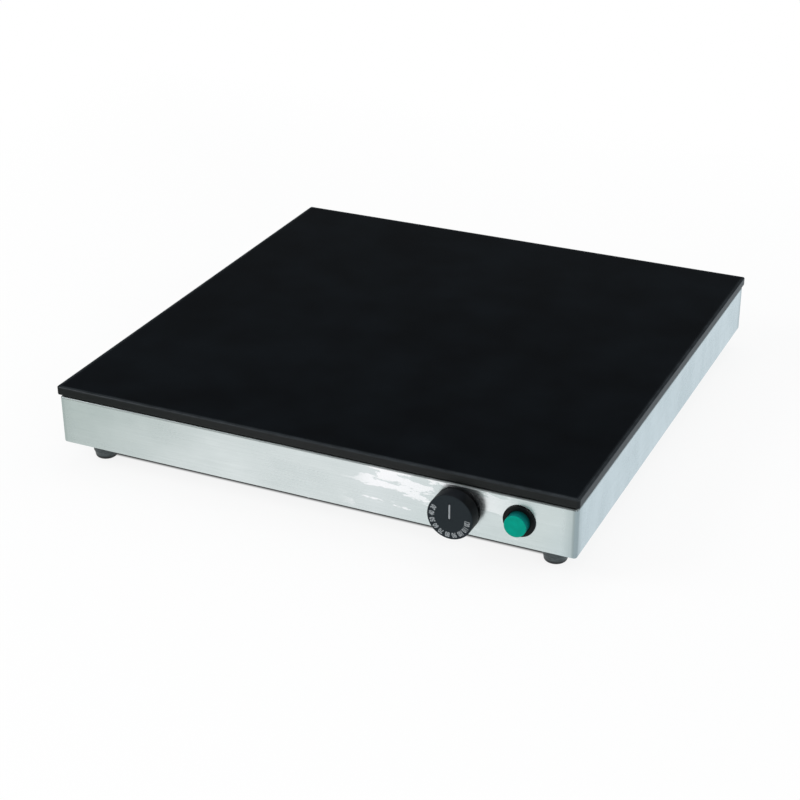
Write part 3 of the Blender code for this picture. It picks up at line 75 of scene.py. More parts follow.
def centre_on(node, wall):
    """The middle of a node across and up, on a wall."""
    x, _, z = box_of(node).mean(0)
    return np.array([x, wall, z])


def reach_of(node):
    """How far the front and the back of a node on the front wall stand out from it, and its radius."""
    low, high = box_of(node)
    return FRONT - low[1], FRONT - high[1], (high[0] - low[0]) / 2


KNOB_CENTRE = centre_on("knob", FRONT)
BUTTON_CENTRE = centre_on("button_bezel", FRONT)
GLAND_CENTRE = centre_on("gland_body", BACK)
KNOB_FRONT, KNOB_BACK, KNOB_RADIUS = reach_of("knob")
BEZEL_FRONT, _, BEZEL_RADIUS = reach_of("button_bezel")
CAP_FRONT, CAP_BACK, CAP_RADIUS = reach_of("button_cap")

# Columns are the directions, in the model's frame, of a piece's own three axes
UPWARDS = np.eye(3)
DOWNWARDS = np.array([[1, 0, 0], [0, -1, 0], [0, 0, -1]])
FORWARDS = np.array([[1, 0, 0], [0, 0, -1], [0, 1, 0]])
BACKWARDS = np.array([[-1, 0, 0], [0, 0, 1], [0, 1, 0]])

# Surfaces


def unit(vectors):
    """Vectors divided by their length. One without length stays zero."""
    length = np.linalg.norm(vectors, axis=-1, keepdims=True)
    return vectors / np.maximum(length, WELD)


def rounded(corners, radii, steps=6, guard=GUARD):
    """An outline with its corners rounded. With a and b the directions from a corner to its neighbours, its
    arc has its centre at corner + (a + b) / |a + b| * radius / sin(half the angle between them). Points on
    the arc are sin((1 - s) t) first + sin(s t) last over sin(t), with t the angle that it turns through."""
    corners = np.asarray(corners, float)
    radii = np.broadcast_to(radii, len(corners))[:, None]
    to_last = unit(np.roll(corners, 1, 0) - corners)
    to_next = unit(np.roll(corners, -1, 0) - corners)
    half = np.arccos(np.clip((to_last * to_next).sum(1), -1, 1))[:, None] / 2
    tangent = radii / np.tan(half)
    centre = corners + unit(to_last + to_next) * radii / np.sin(half)
    first, last = corners + to_last * tangent - centre, corners + to_next * tangent - centre
    turn = np.pi - 2 * half
    share = np.linspace(0, 1, steps + 1)[:, None, None]
    arc = centre + (np.sin((1 - share) * turn) * first + np.sin(share * turn) * last) / np.sin(turn)
    reach = np.where(radii > 0, tangent + guard, 0)
    outline = np.concatenate([[corners + to_last * reach], arc, [corners + to_next * reach]])
    outline = outline.swapaxes(0, 1).reshape(-1, 2)
    return outline[np.linalg.norm(outline - np.roll(outline, 1, 0), axis=1) > WELD]


def lengths(points):
    """Distance along a closed line of points, from 0 at the first to the whole way round."""
    ends = np.concatenate([points, points[:1]])
    return np.concatenate([[0], np.cumsum(np.linalg.norm(np.diff(ends, axis=0), axis=1))])


def turned(profile, columns=96):
    """Surface of revolution: (radius, height) at angle t is (radius cos t, radius sin t, height)."""
    angle = np.linspace(0, 2 * np.pi, columns, endpoint=False)
    radius, height = profile[:, :1], profile[:, 1:]
    return np.stack([radius * np.cos(angle), radius * np.sin(angle), height + 0 * angle], -1)


def ring(side_steps, corner_steps=8):
    """Where a rounded rectangle's outline runs: a point is A * (half size - radius) + B * radius. In a corner
    A stays and B turns, and on a side A moves between two corners and B stays."""
    share = np.linspace(0, 1, side_steps + 1)[1:-1]
    share = np.concatenate([[0.001], share, [0.999]])
    angle = np.radians(np.arange(4)[:, None] * 90 + np.linspace(0, 90, corner_steps + 1))
    turning = np.stack([np.cos(angle), np.sin(angle)], -1)
    signs = np.array([(1, 1), (-1, 1), (-1, -1), (1, -1)], float)
    following = np.roll(signs, -1, 0)
    sides = signs[:, None] + (following - signs)[:, None] * share[:, None]
    a = np.concatenate([np.repeat(signs[:, None], corner_steps + 1, 1), sides], 1)
    b = np.concatenate([turning, np.repeat(turning[:, -1:], len(share), 1)], 1)
    return a.reshape(-1, 2), b.reshape(-1, 2)


def carried(profile, width, depth, radius, least_radius, side_steps):
    """A profile of (inset, height) carried round a rounded rectangle. A row's outline is drawn in by its
    inset, and its corner radius is radius - inset, but never under least_radius."""
    a, b = ring(side_steps)
    inset, height = profile[:, 0], profile[:, 1]
    corner = np.maximum(radius - inset, least_radius)[:, None, None]
    half = np.array([width, depth]) / 2 - inset[:, None, None] - corner
    flat = a * half + b * corner
    return np.concatenate([flat, np.broadcast_to(height[:, None, None], (*flat.shape[:2], 1))], -1)


def place(points, origin, axes=UPWARDS):
    """Points in a piece's own axes, put into the model's frame."""
    return points @ axes.T + np.asarray(origin, float)


def tidy(mesh):
    """Merges doubles at poles and seams, turns the faces outwards and shades rounds smooth."""
    shape = bmesh.new()
    shape.from_mesh(mesh)
    bmesh.ops.remove_doubles(shape, verts=shape.verts, dist=WELD)
    bmesh.ops.dissolve_degenerate(shape, edges=shape.edges, dist=WELD)
    bmesh.ops.recalc_face_normals(shape, faces=shape.faces)
    shape.to_mesh(mesh)
    shape.free()
    mesh.shade_smooth()
    mesh.set_sharp_from_angle(angle=SHARP_ANGLE)


def grid_mesh(points, closed=True, caps=False, uv=None, raw=False):
    """Mesh through a grid of points. Its columns go round, and so do its rows if it is closed. Caps fill the
    first and the last row."""
    rows, columns = points.shape[:2]
    i, j = np.meshgrid(np.arange(rows if closed else rows - 1), np.arange(columns), indexing="ij")
    i, j = i.ravel(), j.ravel()
    i, j = np.stack([i, i, i + 1, i + 1], 1), np.stack([j, j + 1, j + 1, j], 1)
    faces = ((i % rows) * columns + j % columns).tolist()
    if caps:
        faces += [list(range(columns)), list(range((rows - 1) * columns, rows * columns))]
    mesh = bpy.data.meshes.new("surface")
    mesh.from_pydata(points.reshape(-1, 3), [], faces)
    if uv is not None:
        layer = mesh.uv_layers.new(name="sheet")
        across, along = uv
        spots = np.stack([across[j], along[i]], -1).reshape(-1)
        layer.data.foreach_set("uv", np.resize(spots, 2 * len(mesh.loops)))
    if not raw:
        tidy(mesh)
    return mesh


def in_scene(name, data):
    """New object in the scene."""
    made = bpy.data.objects.new(name, data)
    bpy.context.scene.collection.objects.link(made)
    return made


def show(name, mesh, look, slot, *replaced, body="chassis"):
    """A finished piece: its mesh at the origin, its finish, what it replaces and the body it rides on."""
    made = in_scene(name, mesh)
    mesh.name = name
    mesh.materials.clear()
    mesh.materials.append(FINISHES[look])
    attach(made, body)
    if replaced:
        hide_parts(*replaced)
    return made


def piece(name, points, origin, axes, look, slot, *replaced, body="chassis", **shape):
    """A finished piece through a grid of points in its own axes."""
    return show(name, grid_mesh(place(points, origin, axes), **shape), look, slot, *replaced, body=body)


def baked(source):
    """Mesh of an object with its modifiers applied. The object is removed."""
    bpy.context.view_layer.update()
    graph = bpy.context.evaluated_depsgraph_get()
    mesh = bpy.data.meshes.new_from_object(source.evaluated_get(graph), depsgraph=graph)
    bpy.data.objects.remove(source)
    return mesh


def drilled(mesh, *cutters):
    """A mesh with closed shapes cut out of it."""
    whole = in_scene("whole", mesh)
    tools = [in_scene("tool", cutter) for cutter in cutters]
    for tool in tools:
        cut = whole.modifiers.new("cut", "BOOLEAN")
        cut.operation, cut.solver, cut.object = "DIFFERENCE", "EXACT", tool
    result = baked(whole)
    for tool in tools:
        bpy.data.objects.remove(tool)
    result.shade_smooth()
    result.set_sharp_from_angle(angle=SHARP_ANGLE)
    return result


def pillar(outline, low, high, origin, axes=UPWARDS):
    """Closed prism over an outline, between two heights."""
    rows = [np.column_stack([outline, np.full(len(outline), height)]) for height in (low, high)]
    return grid_mesh(place(np.array(rows), origin, axes), closed=False, caps=True)


def disc(radius, columns=64):
    """Circle of points (radius cos t, radius sin t)."""
    angle = np.linspace(0, 2 * np.pi, columns, endpoint=False)
    return radius * np.column_stack([np.cos(angle), np.sin(angle)])


def box_outline(width, depth, radius, centre, steps=6):
    """Rectangle with round corners."""
    x, y = width / 2, depth / 2
    return rounded([(x, y), (-x, y), (-x, -y), (x, -y)], radius, steps, 0) + np.asarray(centre)


# Finishes

FINISHES = {}
# The part of a noise texture's values that is stretched to the range 0 to 1
NOISE_LOW, NOISE_HIGH = 0.32, 0.68
# How fast the wave texture runs, and the scale that it is given
WAVE_RATE, WAVE_SCALE = 20, 1.0 / 0.31
# Where, across the front wall, its painted highlights begin and end, and where in the noise they lie
PAINTED_HIGHLIGHT_FROM, PAINTED_HIGHLIGHT_TO = (0.030, 0.070), (0.220, 0.150)
PAINTED_HIGHLIGHT_SHIFT = (3.1, 0.7, 1.9)


def linear(colour):
    """Linear RGBA of an sRGB hex colour."""
    channels = np.array([int(colour[i : i + 2], 16) for i in (1, 3, 5)]) / 255
    lit = np.where(channels <= 0.04045, channels / 12.92, ((channels + 0.055) / 1.055) ** 2.4)
    return (*lit, 1.0)


def add(tree, kind, sockets=None, **settings):
    """Outputs of a new shader node. A socket of it gets a value, or a link to another node's output."""
    made = tree.nodes.new("ShaderNode" + kind)
    for name, value in settings.items():
        setattr(made, name, value)
    for key, value in (sockets or {}).items():
        if isinstance(value, bpy.types.NodeSocket):
            tree.links.new(value, made.inputs[key])
        else:
            made.inputs[key].default_value = value
    return made.outputs


def spots_of(tree, scale, uv=None, centre=(0, 0, 0)):
    """Coordinates of a spot, from its object or a UV map, times a scale and moved to a centre."""
    if uv:
        spots = add(tree, "UVMap", uv_map=uv)["UV"]
    else:
        spots = add(tree, "TexCoord")["Object"]
    return add(tree, "Mapping", {"Vector": spots, "Location": centre, "Scale": scale})["Vector"]


def grain(tree, size, detail=2.0, uv=None, rough=0.5, centre=(0, 0, 0)):
    """Noise whose blobs are about size mm across, one size for each axis, stretched to the range 0 to 1."""
    scale = [1 / (part * MM) for part in (size if isinstance(size, tuple) else (size,) * 3)]
    sockets = {"Vector": spots_of(tree, scale, uv, centre), "Scale": 1.0, "Detail": detail}
    noise = add(tree, "TexNoise", {**sockets, "Roughness": rough})["Fac"]
    spread = {"Value": noise, "From Min": NOISE_LOW, "From Max": NOISE_HIGH}
    return add(tree, "MapRange", spread)["Result"]


def speck(size, detail=2.0, **more):
    """Pattern of plain grain, whose size is in mm."""
    return lambda tree: grain(tree, size, detail, **more)


def spangle(tree):
    """Zinc crystals: cells about 5 mm across, each with a tone of its own."""
    cells = add(tree, "TexVoronoi", {"Vector": spots_of(tree, (1 / (5 * MM),) * 3), "Scale": 1.0})["Color"]
    return add(tree, "SeparateColor", {"Color": cells})[0]


def weave(pitch):
    """Pattern of crossing waves, one thread spacing (in mm) apart, as cloth prints it."""

    def build(tree):
        sockets = {"Vector": spots_of(tree, (1 / (WAVE_RATE * (pitch * MM)),) * 3), "Scale": WAVE_SCALE}
        waves = [add(tree, "TexWave", sockets, bands_direction=way)[1] for way in "XY"]
        return times(*waves)

    return build


def tree_of(*values):
    """The nodes that the first node output among some values belongs to."""
    return next(value.id_data for value in values if isinstance(value, bpy.types.NodeSocket))


def blend(factor, low, high):
    """Mix of two colours or of two numbers by a factor. A colour is a hex text or another node's output."""
    tree = tree_of(factor, low, high)
    if any(isinstance(part, (str, bpy.types.NodeSocketColor)) for part in (low, high)):
        low, high = (linear(part) if isinstance(part, str) else part for part in (low, high))
        return add(tree, "Mix", {0: factor, 6: low, 7: high}, data_type="RGBA")[2]
    return add(tree, "Mix", {0: factor, 2: low, 3: high})[0]


def ramp(value, start, end):
    """Smooth step of a value: 0 up to start, 1 from end on."""
    spread = {"Value": value, "From Min": start, "From Max": end}
    return add(value.id_data, "MapRange", spread, interpolation_type="SMOOTHSTEP")["Result"]


def maths(operation, first, second=0.0):
    """Result of one sum, product or other operation on two values."""
    return add(tree_of(first, second), "Math", {0: first, 1: second}, operation=operation)[0]


def times(first, second):
    """Product of two values."""
    return maths("MULTIPLY", first, second)


def off(value, middle):
    """Distance of a value from a middle."""
    return maths("ABSOLUTE", maths("SUBTRACT", value, middle))


def object_axes(tree):
    """The three object coordinates of a spot."""
    spots = add(tree, "TexCoord")["Object"]
    return add(tree, "SeparateXYZ", {"Vector": spots})


def new_look(key, name):
    """A finish, its nodes and its shader's sockets."""
    made = FINISHES[key] = bpy.data.materials.new(name)
    made.use_nodes = True
    return made, made.node_tree, made.node_tree.nodes["Principled BSDF"].inputs


def finish(key, name, colours, roughness, pattern, bump=0.0, over=None, **constants):
    """A finish whose colour and roughness run between two values with a pattern, which also raises it by bump
    mm. What lies over it takes the nodes, the colour and the roughness, and gives those to use."""
    made, tree, sockets = new_look(key, name)
    colours = colours.split()
    for socket, value in constants.items():
        sockets[socket.replace("_", " ")].default_value = value
    factor = pattern(tree)
    outcome = blend(factor, *colours), blend(factor, *roughness)
    if over:
        outcome = over(tree, *outcome)
    tree.links.new(outcome[0], sockets["Base Color"])
    tree.links.new(outcome[1], sockets["Roughness"])
    if bump:
        raised = add(tree, "Bump", {"Height": factor, "Distance": bump * MM, "Strength": 1.0})
        tree.links.new(raised["Normal"], sockets["Normal"])
    made.diffuse_color = linear(colours[1])


def make_stainless():
    """Stainless sheet, cold rolled, brushed lengthwise and folded. Brushing gives fine straight lines along
    each wall, and handling leaves faint cloudy patches. Round the controls the front wall is painted
    brighter, with ragged near-white patches that are painted highlights. The top fold, under the glass's
    overhang, is painted darker as painted shade, and is rougher. Near each corner the sheet is painted darker
    in upright streaks, and its bend darker still, as painted shade, most at the right end; it is rougher
    there too. How far a spot is from its corner is the sum of its distances to the two outer faces."""
    made, tree, sockets = new_look("stainless", "stainless_sheet_brushed")
    # Real brush lines are about 0.08 mm wide. They are drawn 0.5 and 1.6 mm wide so that they show.
    fine = grain(tree, (70, 0.5, 1000), 2.0, "sheet")
    coarse = grain(tree, (220, 1.6, 1000), 3.0, "sheet")
    cloud = grain(tree, (90, 26, 60), 3.0, rough=0.6)
    lines = blend(0.45, fine, coarse)
    mixed = blend(0.60, lines, cloud)
    colour = blend(mixed, "#cdd6d6", "#e1e8e8")
    place_x, place_y, place_z = object_axes(tree)
    # Painted highlights: ragged near-white patches, 20 to 40 mm long, more of them high on the wall
    ragged = grain(tree, (34, 10, 11), 5.0, rough=0.62, centre=PAINTED_HIGHLIGHT_SHIFT)
    highlight_zone = times(ramp(place_x, *PAINTED_HIGHLIGHT_FROM), ramp(place_x, *PAINTED_HIGHLIGHT_TO))
    highlight_zone = times(highlight_zone, ramp(place_y, FRONT + 8 * MM, FRONT + 4 * MM))
    high = ramp(place_z, CASING_LOW[2], CASING_LOW[2] + 0.6 * CASING_HEIGHT)
    ragged = maths("ADD", ragged, blend(high, -0.18, 0.08))
    painted_highlight = times(ramp(ragged, 0.54, 0.70), highlight_zone)
    # Painted highlight: round the controls the whole wall is painted a little brighter
    colour = blend(times(highlight_zone, 0.15), colour, "#e9eef4")
    colour = blend(painted_highlight, colour, "#fcfdff")
    from_side = maths("SUBTRACT", CASING_WIDTH / 2, maths("ABSOLUTE", place_x))
    from_end = maths("SUBTRACT", CASING_DEPTH / 2, off(place_y, PLATE_Y))
    from_corner = maths("ADD", from_side, from_end)
    # Painted shade: near each corner the wall is painted darker in upright streaks and its bend darker still,
    # in full at the right end and at 0.3 at the left; the corners are also rougher
    marks = blend(grain(tree, (0.5, 0.5, 40), 2.0), "#a5b1b0", "#b9c3c2")
    ground = blend(ramp(place_x, 0.0, 0.1), 0.3, 1.0)
    strip = times(ramp(from_corner, 15 * MM, 4 * MM), ground)
    bend = times(ramp(from_corner, 5.5 * MM, 3 * MM), ground)
    colour = blend(times(strip, 0.40), colour, marks)
    colour = blend(times(bend, 0.60), colour, "#929e9e")
    # Painted shade: the top fold under the glass's overhang is painted darker, and made rougher
    fold = ramp(place_z, CASING_HIGH[2] - 2.0 * MM, CASING_HIGH[2] - 0.8 * MM)
    dull = maths("MAXIMUM", fold, times(strip, 0.4))
    colour = blend(times(fold, 0.8), colour, "#a9b1b1")
    raised = add(tree, "Bump", {"Height": lines, "Distance": 0.004 * MM, "Strength": 0.6})
    wavy = {"Height": cloud, "Distance": 0.12 * MM, "Normal": raised[0]}
    linked = {
        "Base Color": colour,
        "Roughness": blend(dull, blend(mixed, 0.30, 0.22), 0.46),
        "Normal": add(tree, "Bump", wavy)["Normal"],
        "Tangent": add(tree, "Tangent", direction_type="UV_MAP", uv_map="sheet")["Tangent"],
    }
    for socket, output in linked.items():
        tree.links.new(output, sockets[socket])
    for socket, value in {"Metallic": 1.0, "Anisotropic": 0.45, "Anisotropic Rotation": 0.25}.items():
        sockets[socket].default_value = value
    made.diffuse_color = linear("#c9d1d2")


def over_ceramic(tree, colour, roughness):
    """Ground edges, greyer and less glossy than the face, which go by the greater of the distances across and
    along from the plate's middle."""
    half, top = box_of("glass_top")[1][[0, 2]]
    place_x, place_y, place_z = object_axes(tree)
    out = maths("MAXIMUM", maths("ABSOLUTE", place_x), off(place_y, PLATE_Y))
    margin = ramp(out, half - 4.5 * MM, half - 1.6 * MM)
    low = ramp(place_z, top - 0.7 * MM, top - 1.7 * MM)
    patchy = grain(tree, (14, 14, 1.2), 3.0)
    rim = blend(patchy, "#24282b", "#33383c")
    side = blend(patchy, "#06090a", "#0f1314")
    colour = blend(times(margin, 0.8), colour, rim)
    return blend(low, colour, side), blend(margin, roughness, 0.36)


def over_lens(tree, colour, roughness):
    """Painted shade: behind the face the wall is painted a deeper green towards the bezel, for the dark
    sleeve that a clear wall would show.
    """
    depth = object_axes(tree)["Y"]
    cap_face = FRONT - CAP_FRONT
    near = ramp(depth, cap_face + 0.5 * MM, cap_face + 1.3 * MM)
    far = ramp(depth, cap_face + 1.3 * MM, FRONT - BEZEL_FRONT)
    return blend(near, colour, blend(far, "#0a7773", "#064a48")), roughness


def over_knob(tree, colour, roughness):
    """Painted light and shade on the side: a little darker than the face over its top and left, as if lit
    from above, and much darker towards its right as painted shade.
    """
    rim = FRONT - KNOB_FRONT
    place_x, place_y, _ = object_axes(tree)
    right = ramp(place_x, KNOB_CENTRE[0] + 5 * MM, KNOB_CENTRE[0] + 15 * MM)
    side = blend(right, "#1c1f23", "#05080a")
    return blend(ramp(place_y, rim + 0.9 * MM, rim + 2.2 * MM), colour, side), roughness


def over_foot(tree, colour, roughness):
    """Painted light and shade: the middle of a foot is painted greyer, as light from the floor on it, and its
    tread and its top are painted near black, as shade at the floor and under the casing.
    """
    level = object_axes(tree)["Z"]
    band = times(ramp(level, 2.4 * MM, 4.6 * MM), ramp(level, 14 * MM, 11 * MM))
    return blend(band, "#15181a", colour), roughness


def make_finishes():
    """All finishes by name, from the size of the real pattern in each."""
    make_stainless()
    # Glass ceramic, rolled and polished: near black right through, with cloudy depth and faint wipe marks
    finish(
        "glass", "glass_ceramic_black_polished", "#05070a #0a0e12", (0.06, 0.075), speck(55, 3.0),
        over=over_ceramic, IOR=1.5, Specular_IOR_Level=0.24,
    )
    # Silicone sealant, laid by hand: smooth skin that is a little uneven
    skin = {"bump": 0.05, "Specular_IOR_Level": 0.1}
    finish("bead", "silicone_bead_black", "#040506 #090b0c", (0.50, 0.65), speck(6), **skin)
    # Galvanised sheet, blanked: zinc crystals of many greys
    finish("galvanised", "steel_sheet_galvanised", "#8f9497 #b7bcbd", (0.50, 0.34), spangle, Metallic=0.95)
    # Steel screws, headed and zinc plated: bright with a faint cloudy blue
    finish("zinc", "steel_screw_zinc_plated", "#b3babf #ced1cd", (0.34, 0.22), speck(1.2), 0.01, Metallic=1.0)
    # Rubber, moulded: satin, with fine level streaks
    finish(
        "rubber", "rubber_foot_moulded", "#3d4446 #5a6264", (0.34, 0.50), speck((5, 5, 0.8), 3.0), 0.05,
        over_foot, Specular_IOR_Level=0.4,
    )
    # Phenolic knob, moulded: black with a fine spark-eroded grain that scatters most of its gloss
    finish(
        "knob", "phenolic_knob_satin", "#1f2529 #293034", (0.42, 0.56), speck(0.5), 0.015, over_knob,
        Specular_IOR_Level=0.08,
    )
    # Pad-printed ink: flat, thin, slightly uneven
    finish("ink", "dial_ink_pad_printed", "#84898c #a5aaad", (0.50, 0.60), speck(0.6), 0.004)
    # Pointer filled with paint: pale grey, a little uneven
    finish("inlay", "pointer_inlay_painted", "#84898d #a0a5a9", (0.45, 0.55), speck(0.8), 0.004)
    # Polyamide bezel, moulded: black, with a dull shine on its round edges
    finish(
        "bezel", "polyamide_bezel_black", "#090b0c #101314", (0.30, 0.42), speck(0.6), 0.006,
        Specular_IOR_Level=0.14,
    )
    # Polycarbonate lens, moulded in green. A pale diffuser lights up its face.
    finish(
        "lens", "polycarbonate_lens_green", "#00937f #009d88", (0.36, 0.44), speck(5), over=over_lens,
        Specular_IOR_Level=0.05,
    )
    # Polyamide and neoprene, moulded: even fine grain
    finish("nylon", "polyamide_moulded_grey", "#2f3234 #414547", (0.42, 0.54), speck(0.7), 0.02)
    finish("seal_rubber", "neoprene_seal_moulded", "#1a1c1d #292c2d", (0.60, 0.75), speck(0.8), 0.03)
    # Aluminium sheet, rolled: long faint mill lines
    lines = speck((160, 1.5, 20), 3.0)
    finish("aluminium", "aluminium_sheet_rolled", "#b4b8bb #cdd0d2", (0.42, 0.30), lines, 0.01, Metallic=1.0)
    # Silicone heater mat, cured between cloths: a weave print, drawn coarser than a real one
    finish("mat", "silicone_mat_cloth_printed", "#8f3a20 #b95437", (0.55, 0.70), weave(1.6), 0.08)
    # Mineral wool board: pale matted fibres that lie mostly flat
    fibres = speck((9, 5, 1.2), 6.0, rough=0.7)
    finish("wool", "mineral_wool_board", "#b5ab8c #e2ddc9", (0.90, 1.00), fibres, 0.6)
    # Phenolic housings, moulded in ivory: even fine grain
    finish("ivory", "phenolic_housing_ivory", "#cfc8b2 #ddd8c6", (0.42, 0.55), speck(1.0), 0.02)
    # Brass turned, copper drawn and spring steel oiled: bright, with faint stains
    finish("brass", "brass_turned", "#a98a48 #c5a866", (0.24, 0.36), speck(0.7), 0.005, Metallic=1.0)
    finish("copper", "copper_drawn", "#a65f3b #c4805a", (0.28, 0.42), speck(3, 3.0), 0.01, Metallic=1.0)
    finish("spring", "spring_steel_oiled", "#84878a #a6a9ab", (0.24, 0.36), speck(1.5), 0.005, Metallic=1.0)
    # Neon lamp, blown glass: clear, painted a warm white as its glow, with no light of its own
    finish(
        "lamp", "neon_lamp_glass", "#dcbb96 #efd8bb", (0.06, 0.12), speck(2), Transmission_Weight=0.6, IOR=1.5
    )
    # Sleeves of the wires, extruded: satin, a little uneven
    sleeves = {"brown": "#4f2b1d #643a29", "blue": "#24528d #3368ab", "white": "#cfcec8 #e0dfda"}
    for name, colours in sleeves.items():
        finish(name, f"pvc_sleeve_{name}", colours, (0.45, 0.58), speck(2.5), 0.02)
    # Earth wire: green sleeve with a yellow stripe that winds round it
    finish("earth", "pvc_sleeve_green_yellow", "#4c8a2f #d8c93a", (0.45, 0.55), weave(5))


# Casing, glass and base

CLEAR = 0.3 * MM
OVERRUN = 2 * MM
SHEET = 1.2 * MM
FOLD = 1.8 * MM
SHEET_EDGE = 0.2 * MM
CORNER, LEAST_CORNER = 3 * MM, 1 * MM
TOP_FLANGE = 16 * MM
BOTTOM_FLANGE = 14 * MM
MITRE_START, MITRE_GAP = 4 * MM, 0.5 * MM
COLLAR_RADIUS = 4.8 * MM
SLEEVE_RADIUS = 11 * MM
GLAND_THREAD_RADIUS = 8 * MM
DIAL_SCREW_OUT, DIAL_SCREW_RADIUS = 14 * MM, 1.9 * MM
BASE_SCREW_RADIUS = 1.7 * MM
SMALL_DISC = 32
BASE_SCREWS = ("front", "rear", "left_front", "left_rear", "right_front", "right_rear")
FEET = ("front_left", "front_right", "rear_left", "rear_right")


def make_casing():
    """Folded sheet: a C-shaped strip of even thickness, carried round the plate and mitred at the bottom."""
    inner, top, under = FOLD - SHEET, CASING_HEIGHT, CASING_HEIGHT - SHEET
    corners = [
        (BOTTOM_FLANGE, 0), (0, 0), (0, top), (TOP_FLANGE, top), (TOP_FLANGE, under), (SHEET, under),
        (SHEET, SHEET), (BOTTOM_FLANGE, SHEET),
    ]
    radii = [SHEET_EDGE, FOLD, FOLD, SHEET_EDGE, SHEET_EDGE, inner, inner, SHEET_EDGE]
    profile = rounded(corners, radii)
    points = carried(profile, CASING_WIDTH, CASING_DEPTH, CORNER, LEAST_CORNER, 4)
    uv = lengths(points[len(profile) // 4, :, :2]), lengths(profile)
    mesh = grid_mesh(place(points, (PLATE_X, PLATE_Y, CASING_LOW[2])), uv=uv)
    through = (-SHEET - OVERRUN, OVERRUN)
    cutters = [
        pillar(disc(COLLAR_RADIUS + CLEAR), *through, KNOB_CENTRE, FORWARDS),
        pillar(disc(SLEEVE_RADIUS + CLEAR), *through, BUTTON_CENTRE, FORWARDS),
        pillar(disc(GLAND_THREAD_RADIUS + CLEAR), *through, GLAND_CENTRE, BACKWARDS),
    ]
    for side in (-1, 1):
        spot = KNOB_CENTRE + (side * DIAL_SCREW_OUT, 0, 0)
        cutters.append(pillar(disc(DIAL_SCREW_RADIUS + CLEAR, SMALL_DISC), *through, spot, FORWARDS))
    low, high = CASING_LOW[2] - OVERRUN, CASING_LOW[2] + SHEET + OVERRUN
    for name in BASE_SCREWS:
        x, y, _ = box_of(f"base_screw_{name}").mean(0)
        cutters.append(pillar(disc(BASE_SCREW_RADIUS + CLEAR, SMALL_DISC), low, high, (x, y, 0)))
    for sides in ((-1, -1), (-1, 1), (1, -1), (1, 1)):
        corner = np.array(sides) * (CASING_WIDTH / 2, CASING_DEPTH / 2)
        along = -np.array(sides) / np.sqrt(2)
        across = np.array([-along[1], along[0]]) * MITRE_GAP / 2
        start, end = corner + along * MITRE_START, corner + along * (BOTTOM_FLANGE * np.sqrt(2) + OVERRUN)
        outline = np.array([start + across, start - across, end - across, end + across])
        cutters.append(pillar(outline, low, high, (PLATE_X, PLATE_Y, 0)))
    show("steel_casing", drilled(mesh, *cutters), "stainless", "stainless_steel", "casing")


GLASS_CORNER, GLASS_LEAST_CORNER = 2.4 * MM, 1.2 * MM
GLASS_RING = 40 * MM
GLASS_ARRIS, GLASS_ROUND = 0.6 * MM, 1.2 * MM
BEAD_CORNER, BEAD_LEAST_CORNER = 1.8 * MM, 1.2 * MM
BEAD_WIDTH = 10 * MM
BEAD_STEPS = 90
# Height, count and shift of each wave in the bead's face, and how far it is drawn in
BEAD_WAVES = ((0.08 * MM, 37, 0), (0.05 * MM, 91, 1))
BEAD_DRAWN_IN, BEAD_FACE = 0.1 * MM, 2 * MM


def make_glass():
    """Glass sheet with a polished pencil round on its top edge and a small arris below, and the bead under
    it, whose face goes in and out with a few sine waves of unlike length."""
    low, high = box_of("glass_top")
    width, depth, thick = high - low
    profile = rounded(
        [(GLASS_RING, 0), (0, 0), (0, thick), (GLASS_RING, thick)], [0, GLASS_ARRIS, GLASS_ROUND, 0], 8
    )
    points = carried(profile, width, depth, GLASS_CORNER, GLASS_LEAST_CORNER, 2)
    names = "glass", "black_glass", "glass_top"
    piece("glass_sheet", points, (PLATE_X, PLATE_Y, low[2]), UPWARDS, *names, closed=False, caps=True)
    low, high = box_of("glass_seal")
    width, depth, thick = high - low
    radii = np.array([0.5, 0.5, 0.2, 0.2]) * MM
    profile = rounded([(0, 0), (0, thick), (BEAD_WIDTH, thick), (BEAD_WIDTH, 0)], radii)
    points = carried(profile, width, depth, BEAD_CORNER, BEAD_LEAST_CORNER, BEAD_STEPS)
    around = np.linspace(0, 2 * np.pi, points.shape[1], endpoint=False)
    sway = sum(height * np.sin(count * around + shift) for height, count, shift in BEAD_WAVES) - BEAD_DRAWN_IN
    _, outwards = ring(BEAD_STEPS)
    face = np.clip(1 - profile[:, 0] / BEAD_FACE, 0, 1)
    points[..., :2] += face[:, None, None] * sway[:, None] * outwards
    names = "bead", "black_silicone", "glass_seal"
    piece("silicone_bead", points, (PLATE_X, PLATE_Y, low[2]), UPWARDS, *names)


def flat_sheet(outline, holes, thickness, edge):
    """Mesh of a flat sheet with holes, its edges a little rounded: a filled flat curve given thickness."""
    curve = bpy.data.curves.new("sheet", "CURVE")
    curve.dimensions, curve.fill_mode = "2D", "BOTH"
    curve.extrude, curve.bevel_depth, curve.bevel_resolution = thickness / 2 - edge, edge, 1
    curve.offset = -edge
    for loop in (outline, *holes):
        spline = curve.splines.new("POLY")
        spline.points.add(len(loop) - 1)
        spots = np.column_stack([loop, np.zeros(len(loop)), np.ones(len(loop))])
        spline.points.foreach_set("co", spots.ravel())
        spline.use_cyclic_u = True
    return baked(in_scene("sheet", curve))


# Radii of the base sheet's holes, by the node that goes through each
BASE_HOLES = {f"foot_{name}": 2.8 * MM for name in FEET}
BASE_HOLES.update({f"base_screw_{name}": 2.0 * MM for name in BASE_SCREWS})
BASE_HOLES.update({"earth_screw": 2.2 * MM, "terminal_block_screw": 1.8 * MM})
BASE_CORNER, BASE_EDGE = 4 * MM, 0.12 * MM
VENTS, VENT_LENGTH, VENT_WIDTH, VENT_ROUND = 6, 45 * MM, 3 * MM, 1.499 * MM
VENT_OUT, VENT_BACK, VENT_PITCH = 120 * MM, 20 * MM, 10 * MM


